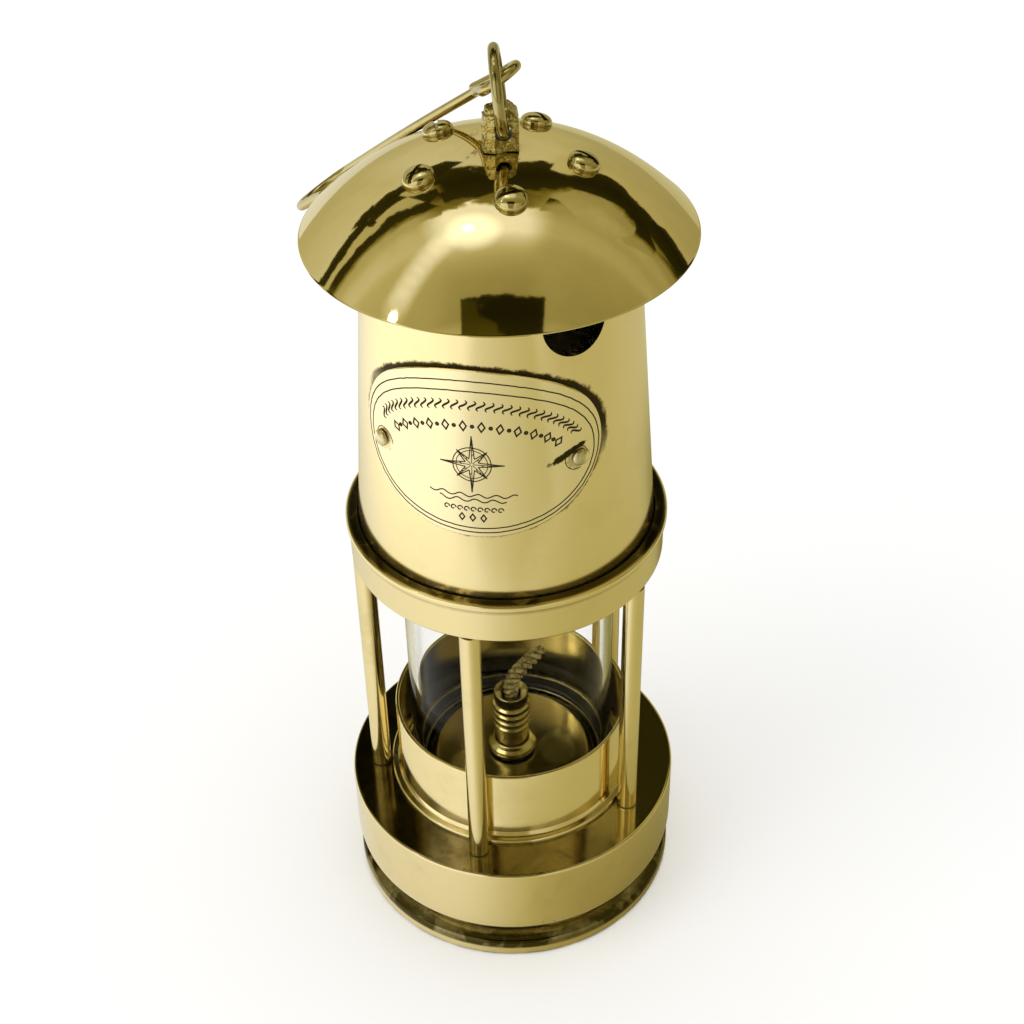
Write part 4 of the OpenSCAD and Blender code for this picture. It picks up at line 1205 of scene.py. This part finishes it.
# wire end beside the shank, round the eye and down the shank
for k in range(14):
    t = k / 13
    pts2.append((9.6 - 7.4 * t, -1.55 - 1.25 * t ** 1.5, 0.55 * (1 - t)))
for k in range(1, 60):
    q = math.radians(-52) - math.radians(256) * k / 60
    pts2.append((EYE_R * math.cos(q), EYE_R * math.sin(q), -0.15 * k / 60))
e = pts2[-1]
for k in range(1, 12):
    t = k / 12
    pts2.append((e[0] * (1 - t) + 8.0 * t + 0.9 * math.sin(math.pi * t) * 0.3, e[1] * (1 - t) ** 1.7, -0.15 * (1 - t)))
x = 8.0
while x < HOOK_L:
    bow = 0.22 * math.sin(math.pi * (x - 8) / (HOOK_L - 8))
    pts2.append((x, 0.0, bow))
    x += 1.0
for k in range(0, 40):
    q = math.pi * k / 39
    pts2.append((HOOK_L + CROOK * math.sin(q), CROOK - CROOK * math.cos(q), 0))
for k in range(1, 10):
    pts2.append((HOOK_L - k, 2 * CROOK + 0.01 * k * k, 0))
path = [tuple(hook_m @ Vector(p)) for p in pts2]
rad2 = [w * (1.0 + 0.015 * noise.noise(Vector(p) * 0.35)) for p in path]
rad2 = [min(r, 0.95) for r in rad2]
for k in range(1, 5):
    rad2[-k] *= 1 - 0.05 * (5 - k)
o = tube("hook_wire", path, rad2, ring=32)
finish_piece(o, "hook", "hook")

# ---------------------------------------------------------------- CAD nodes kept as they are
for node, mat in {"tank_seal": "seal", "burner_washer": "seal", "glass_top_washer": "seal", "rod_screws": "steel", "bonnet_crown": "inner",
                  "hood_spacers": "inner", "hood_nuts": "inner", "swivel_washer": "steel", "swivel_nut": "steel"}.items():
    ob = frame["nodes"][node]
    ob.data.materials.clear()
    ob.data.materials.append(M[mat])

# ---------------------------------------------------------------- floor, light, camera
floor_me = bpy.data.meshes.new("floor")
g = 24
floor_me.from_pydata([(-2.4 + 4.8 * i / g, -2.4 + 4.8 * j / g, -0.00002) for j in range(g + 1) for i in range(g + 1)], [],
                     [(j * (g + 1) + i, j * (g + 1) + i + 1, (j + 1) * (g + 1) + i + 1, (j + 1) * (g + 1) + i) for j in range(g) for i in range(g)])
floor = bpy.data.objects.new("floor", floor_me)
bpy.context.scene.collection.objects.link(floor)


def tone(n, level):
    """Reflected surroundings: grey level to the warm tone that level has in polished brass."""
    return n.ramp(n.math("DIVIDE", level, 2.0), [(0.0, (0.0, 0.0, 0.0)), (0.004, (0.009, 0.008, 0.002)), (0.043, (0.086, 0.072, 0.008)), (0.11, (0.22, 0.18, 0.034)),
                                                 (0.285, (0.57, 0.53, 0.29)), (0.5, (1.0, 0.995, 0.98)), (1.0, (2.0, 2.0, 2.05))])


mat, n = tree("floor_painted_light")
pos, x, y, z, r, az = common(n)
bearing = n.math("ADD", n.math("DIVIDE", n.math("ARCTAN2", x, n.math("MULTIPLY", y, -1.0)), 2 * math.pi), 0.5)
# painted light on the floor, seen only in reflections: brighter to the left and front left, darker to the right and
# behind, dimmer close to the lantern than further out
near_stops = [(-180, 0.52), (-172, 0.50), (-160, 0.50), (-150, 0.66), (-120, 0.90), (-95, 0.98), (-46, 1.10), (-22, 1.02), (-6, 0.78), (12, 0.62), (46, 0.54), (80, 0.54), (110, 0.58), (126, 0.50), (138, 0.26), (166, 0.22), (174, 0.45), (180, 0.52)]
far_stops = [(-180, 0.62), (-150, 0.85), (-120, 1.30), (-95, 1.48), (-46, 1.32), (-22, 1.08), (-6, 0.92), (12, 0.80), (30, 0.68), (46, 0.60), (80, 0.58), (110, 0.66), (150, 0.58), (180, 0.60)]
near_lvl = n.ramp(bearing, [((a + 180) / 360, (v / 2, v / 2, v / 2)) for a, v in near_stops], "B_SPLINE")
far_lvl = n.ramp(bearing, [((a + 180) / 360, (v / 2, v / 2, v / 2)) for a, v in far_stops], "B_SPLINE")
painted_floor_light = n.split(n.mix(n.step(r, 0.13, 0.24), near_lvl, far_lvl))[0]
painted_floor_light = n.math("MULTIPLY", painted_floor_light, 2.0)
lp = n.add("ShaderNodeLightPath")
gl = n.math("MULTIPLY", n.math("GREATER_THAN", lp.outputs["Glossy Depth"], 0.5), n.math("LESS_THAN", lp.outputs["Diffuse Depth"], 0.5))
# painted shadow of a person standing in front: a darker strip on the floor, seen only in reflections
edge = n.math("MULTIPLY", n.math("SUBTRACT", n.noise(pos, 14, 2), 0.5), 0.05)
person_shadow = n.math("MULTIPLY", n.step(n.math("ADD", y, edge), -0.185, -0.20), n.step(n.math("ABSOLUTE", n.math("ADD", x, edge)), 0.16, 0.12))
painted_floor_light = n.math("MULTIPLY", painted_floor_light, n.math("SUBTRACT", 1.0, n.math("MULTIPLY", person_shadow, 0.22)))
# painted shadow of the lantern on the floor round its foot, heavier to the right, seen only in reflections
lantern_shadow = n.math("MULTIPLY", n.step(r, 0.085, 0.040), n.math("ADD", 0.06, n.math("MULTIPLY", n.step(x, -0.012, 0.03), 0.26)))
painted_floor_light = n.math("MULTIPLY", painted_floor_light, n.math("SUBTRACT", 1.0, lantern_shadow))
# reflections see the floor toned with this painted light; the camera sees it plain
base = n.mix(gl, (0.93, 0.93, 0.925, 1), n.scale(tone(n, painted_floor_light), 0.93))
soft = n.mix(n.math("MULTIPLY", n.noise(pos, 6, 2), 0.02), base, (0.9, 0.9, 0.89, 1))
bs = n.add("ShaderNodeBsdfDiffuse")
n.put(soft, bs.inputs[0])
out = n.add("ShaderNodeOutputMaterial")
n.put(bs.outputs[0], out.inputs["Surface"])
floor_me.materials.append(mat)

world = bpy.data.worlds.new("studio")
bpy.context.scene.world = world
world.use_nodes = True
if hasattr(world, "cycles"):
    world.cycles.sampling_method = "NONE"  # the surroundings differ between reflections and plain light
n = Nodes(world.node_tree)
d = n.add("ShaderNodeTexCoord").outputs["Generated"]
x, y, z = n.split(d)
n1 = n.noise(d, 2.1, 4, 0.6)
n2 = n.noise(d, 8.0, 4, 0.65)
cells = n.add("ShaderNodeTexVoronoi")
n.put(d, cells.inputs["Vector"])
cells.inputs["Scale"].default_value = 3.6
cr, cg, cb = n.split(cells.outputs["Color"])
theta = n.math("DEGREES", n.math("ARCTAN2", z, y))
wide = n.math("MULTIPLY", n.step(theta, 8, 34), n.step(theta, 72, 58))
shift = n.math("ADD", n.math("MULTIPLY", n.math("SUBTRACT", n1, 0.5), 16.0), n.math("MULTIPLY", n.math("SUBTRACT", cr, 0.5), 13.0))
shift = n.math("ADD", shift, n.math("MULTIPLY", n.math("SUBTRACT", n2, 0.5), 5.0))
calm = n.step(n.math("ABSOLUTE", x), 0.95, 0.60)
shift = n.math("MULTIPLY", shift, n.math("ADD", 0.15, n.math("MULTIPLY", calm, 0.85)))
right = n.math("MULTIPLY", n.step(x, 0.15, 0.65), 12.0)
th = n.math("ADD", theta, n.math("MULTIPLY", wide, n.math("ADD", shift, right)))
th = n.math("ADD", th, n.math("MULTIPLY", n.math("SUBTRACT", n2, 0.5), 2.0))
f = n.math("DIVIDE", th, 180.0)


def values(stops):
    return n.math("MULTIPLY", n.ramp(f, [(a / 180, (v / 2, v / 2, v / 2)) for a, v in stops]), 2.0)


centre = values([(0, 0.50), (14, 0.60), (30, 0.66), (36.5, 0.68), (37.2, 0.03), (46, 0.018), (57, 0.03), (58, 0.14), (65, 0.20), (66.5, 0.26), (67.3, 1.02), (74, 1.12), (81, 1.10), (86, 0.78),
                 (90, 0.60), (95, 0.48), (99, 0.42), (104, 0.37), (118, 0.33), (124, 0.55), (132, 0.95), (180, 0.9)])
sides = values([(0, 0.48), (14, 0.53), (30, 0.57), (36.5, 0.60), (37.2, 0.03), (46, 0.018), (57, 0.03), (58, 0.16), (62, 0.42), (66.5, 0.44), (74, 0.55), (81, 0.58), (86, 0.50),
                (90, 0.47), (95, 0.46), (99, 0.45), (104, 0.43), (118, 0.40), (124, 0.55), (132, 0.95), (180, 0.9)])
lat = n.math("ABSOLUTE", n.math("ADD", x, n.math("ADD", 0.07, n.math("MULTIPLY", n.math("SUBTRACT", n1, 0.5), 0.12))))
g = n.step(lat, 0.20, 0.42)
level = n.math("ADD", n.math("MULTIPLY", centre, n.math("SUBTRACT", 1.0, g)), n.math("MULTIPLY", sides, g))
# gap of light between two buildings, at the left
gap = n.math("MULTIPLY", n.step(x, -0.24, -0.36), n.math("MULTIPLY", n.step(th, 44.0, 45.0), n.step(th, 50.5, 49.5)))
level = n.math("ADD", n.math("MULTIPLY", level, n.math("SUBTRACT", 1.0, gap)), n.math("MULTIPLY", gap, 0.46))
# dark block in front, mirrored low in the hood
box = n.math("MULTIPLY", n.step(n.math("ADD", theta, n.math("MULTIPLY", n.math("SUBTRACT", n2, 0.5), 5.0)), 110.4, 111.0), n.math("SUBTRACT", 1.0, n.math("MULTIPLY", n.step(theta, 126.0, 134.0), 0.35)))
box = n.math("MULTIPLY", box, n.math("MULTIPLY", n.step(x, -0.285, -0.275), n.step(n.math("ADD", x, n.math("MULTIPLY", theta, 0.0015)), 0.475, 0.465)))
box = n.math("MULTIPLY", box, n.math("SUBTRACT", 1.0, n.math("MULTIPLY", n.step(n1, 0.5, 0.56), 0.10)))
level = n.math("MULTIPLY", level, n.math("SUBTRACT", 1.0, n.math("MULTIPLY", box, 0.96)))
# even tone where the sectors run together at the far left and right
pole = n.step(n.math("ABSOLUTE", x), 0.84, 0.96)
level = n.math("ADD", n.math("MULTIPLY", level, n.math("SUBTRACT", 1.0, pole)), n.math("MULTIPLY", pole, 0.45))
# faint stains and furniture
level = n.math("MULTIPLY", level, n.math("ADD", 0.93, n.math("MULTIPLY", n2, 0.14)))
# brighter to the left, darker to the right
level = n.math("MULTIPLY", level, n.math("ADD", 1.0, n.math("MULTIPLY", x, n.math("ADD", -0.24, n.math("MULTIPLY", n.step(theta, 118, 135), -0.35)))))


def spot(direction, inner, outer, gain):
    v = Vector(direction).normalized()
    c = n.dot(d, tuple(v))
    return n.math("MULTIPLY", n.step(c, math.cos(math.radians(outer)), math.cos(math.radians(inner))), gain)


level = n.math("ADD", level, spot((-0.16, 0.17, 0.97), 2.0, 12.0, 0.65))
level = n.math("ADD", level, spot((-0.682, -0.215, 0.69), 0.7, 2.4, 8.0))
level = n.math("ADD", level, spot((-0.19, 0.20, 0.96), 0.6, 2.2, 6.0))
for k in range(7):
    level = n.math("ADD", level, spot((-0.66 + 0.05 * k, -0.17 + 0.045 * k, 0.72 + 0.034 * k), 1.0, 7.5, 0.20))
seen = tone(n, n.math("MINIMUM", level, 1.999))
over = n.math("MAXIMUM", n.math("SUBTRACT", level, 2.0), 0.0)
lit = n.add("ShaderNodeVectorMath", operation="ADD")
n.put(seen, lit.inputs[0])
n.put(n.combine(over, over, n.math("MULTIPLY", over, 0.9)), lit.inputs[1])
lp = n.add("ShaderNodeLightPath")
gl = n.math("MULTIPLY", n.math("GREATER_THAN", lp.outputs["Glossy Depth"], 0.5), n.math("LESS_THAN", lp.outputs["Diffuse Depth"], 0.5))
col = n.mix(gl, (1.04, 1.04, 1.035, 1), lit.outputs[0])
bg = n.add("ShaderNodeBackground")
n.put(col, bg.inputs["Color"])
out = n.add("ShaderNodeOutputWorld")
n.put(bg.outputs[0], out.inputs["Surface"])

light = bpy.data.lights.new("key", "AREA")
light.shape, light.size, light.energy = "DISK", 0.7, 2.6
key = bpy.data.objects.new("key", light)
key.location = (-0.75, -0.35, 1.1)
key.rotation_mode = "QUATERNION"
key.rotation_quaternion = (Vector((0, 0, 0.08)) - Vector(key.location)).to_track_quat("-Z", "Y")
key.visible_glossy = False
bpy.context.scene.collection.objects.link(key)

CAM_F, CAM_D, CAM_EL, CAM_TILT, CAM_PAN, CAM_ROLL = 1700.0, 390.16, 46.9091, 8.0065, 0.242, -1.30
el, pitch, pan, roll = math.radians(CAM_EL), math.radians(-CAM_EL + CAM_TILT), math.radians(CAM_PAN), math.radians(CAM_ROLL)
cpos = Vector((0, -CAM_D * math.cos(el), 27 + CAM_D * math.sin(el))) * MM
fwd = Vector((math.sin(pan) * math.cos(pitch), math.cos(pan) * math.cos(pitch), math.sin(pitch)))
rgt = fwd.cross(Vector((0, 0, 1))).normalized()
up = rgt.cross(fwd)
r2 = rgt * math.cos(roll) + up * math.sin(roll)
u2 = -rgt * math.sin(roll) + up * math.cos(roll)
cam = bpy.data.objects.new("camera", bpy.data.cameras.new("camera"))
cam.data.lens, cam.data.sensor_width = CAM_F / 1024 * 36, 36
cam.data.clip_start, cam.data.clip_end = 0.01, 50
m = Matrix((r2, u2, -fwd)).transposed().to_4x4()
m.translation = cpos
cam.matrix_world = m
bpy.context.scene.collection.objects.link(cam)
bpy.context.scene.camera = cam
bpy.context.scene.view_settings.view_transform = "Standard"
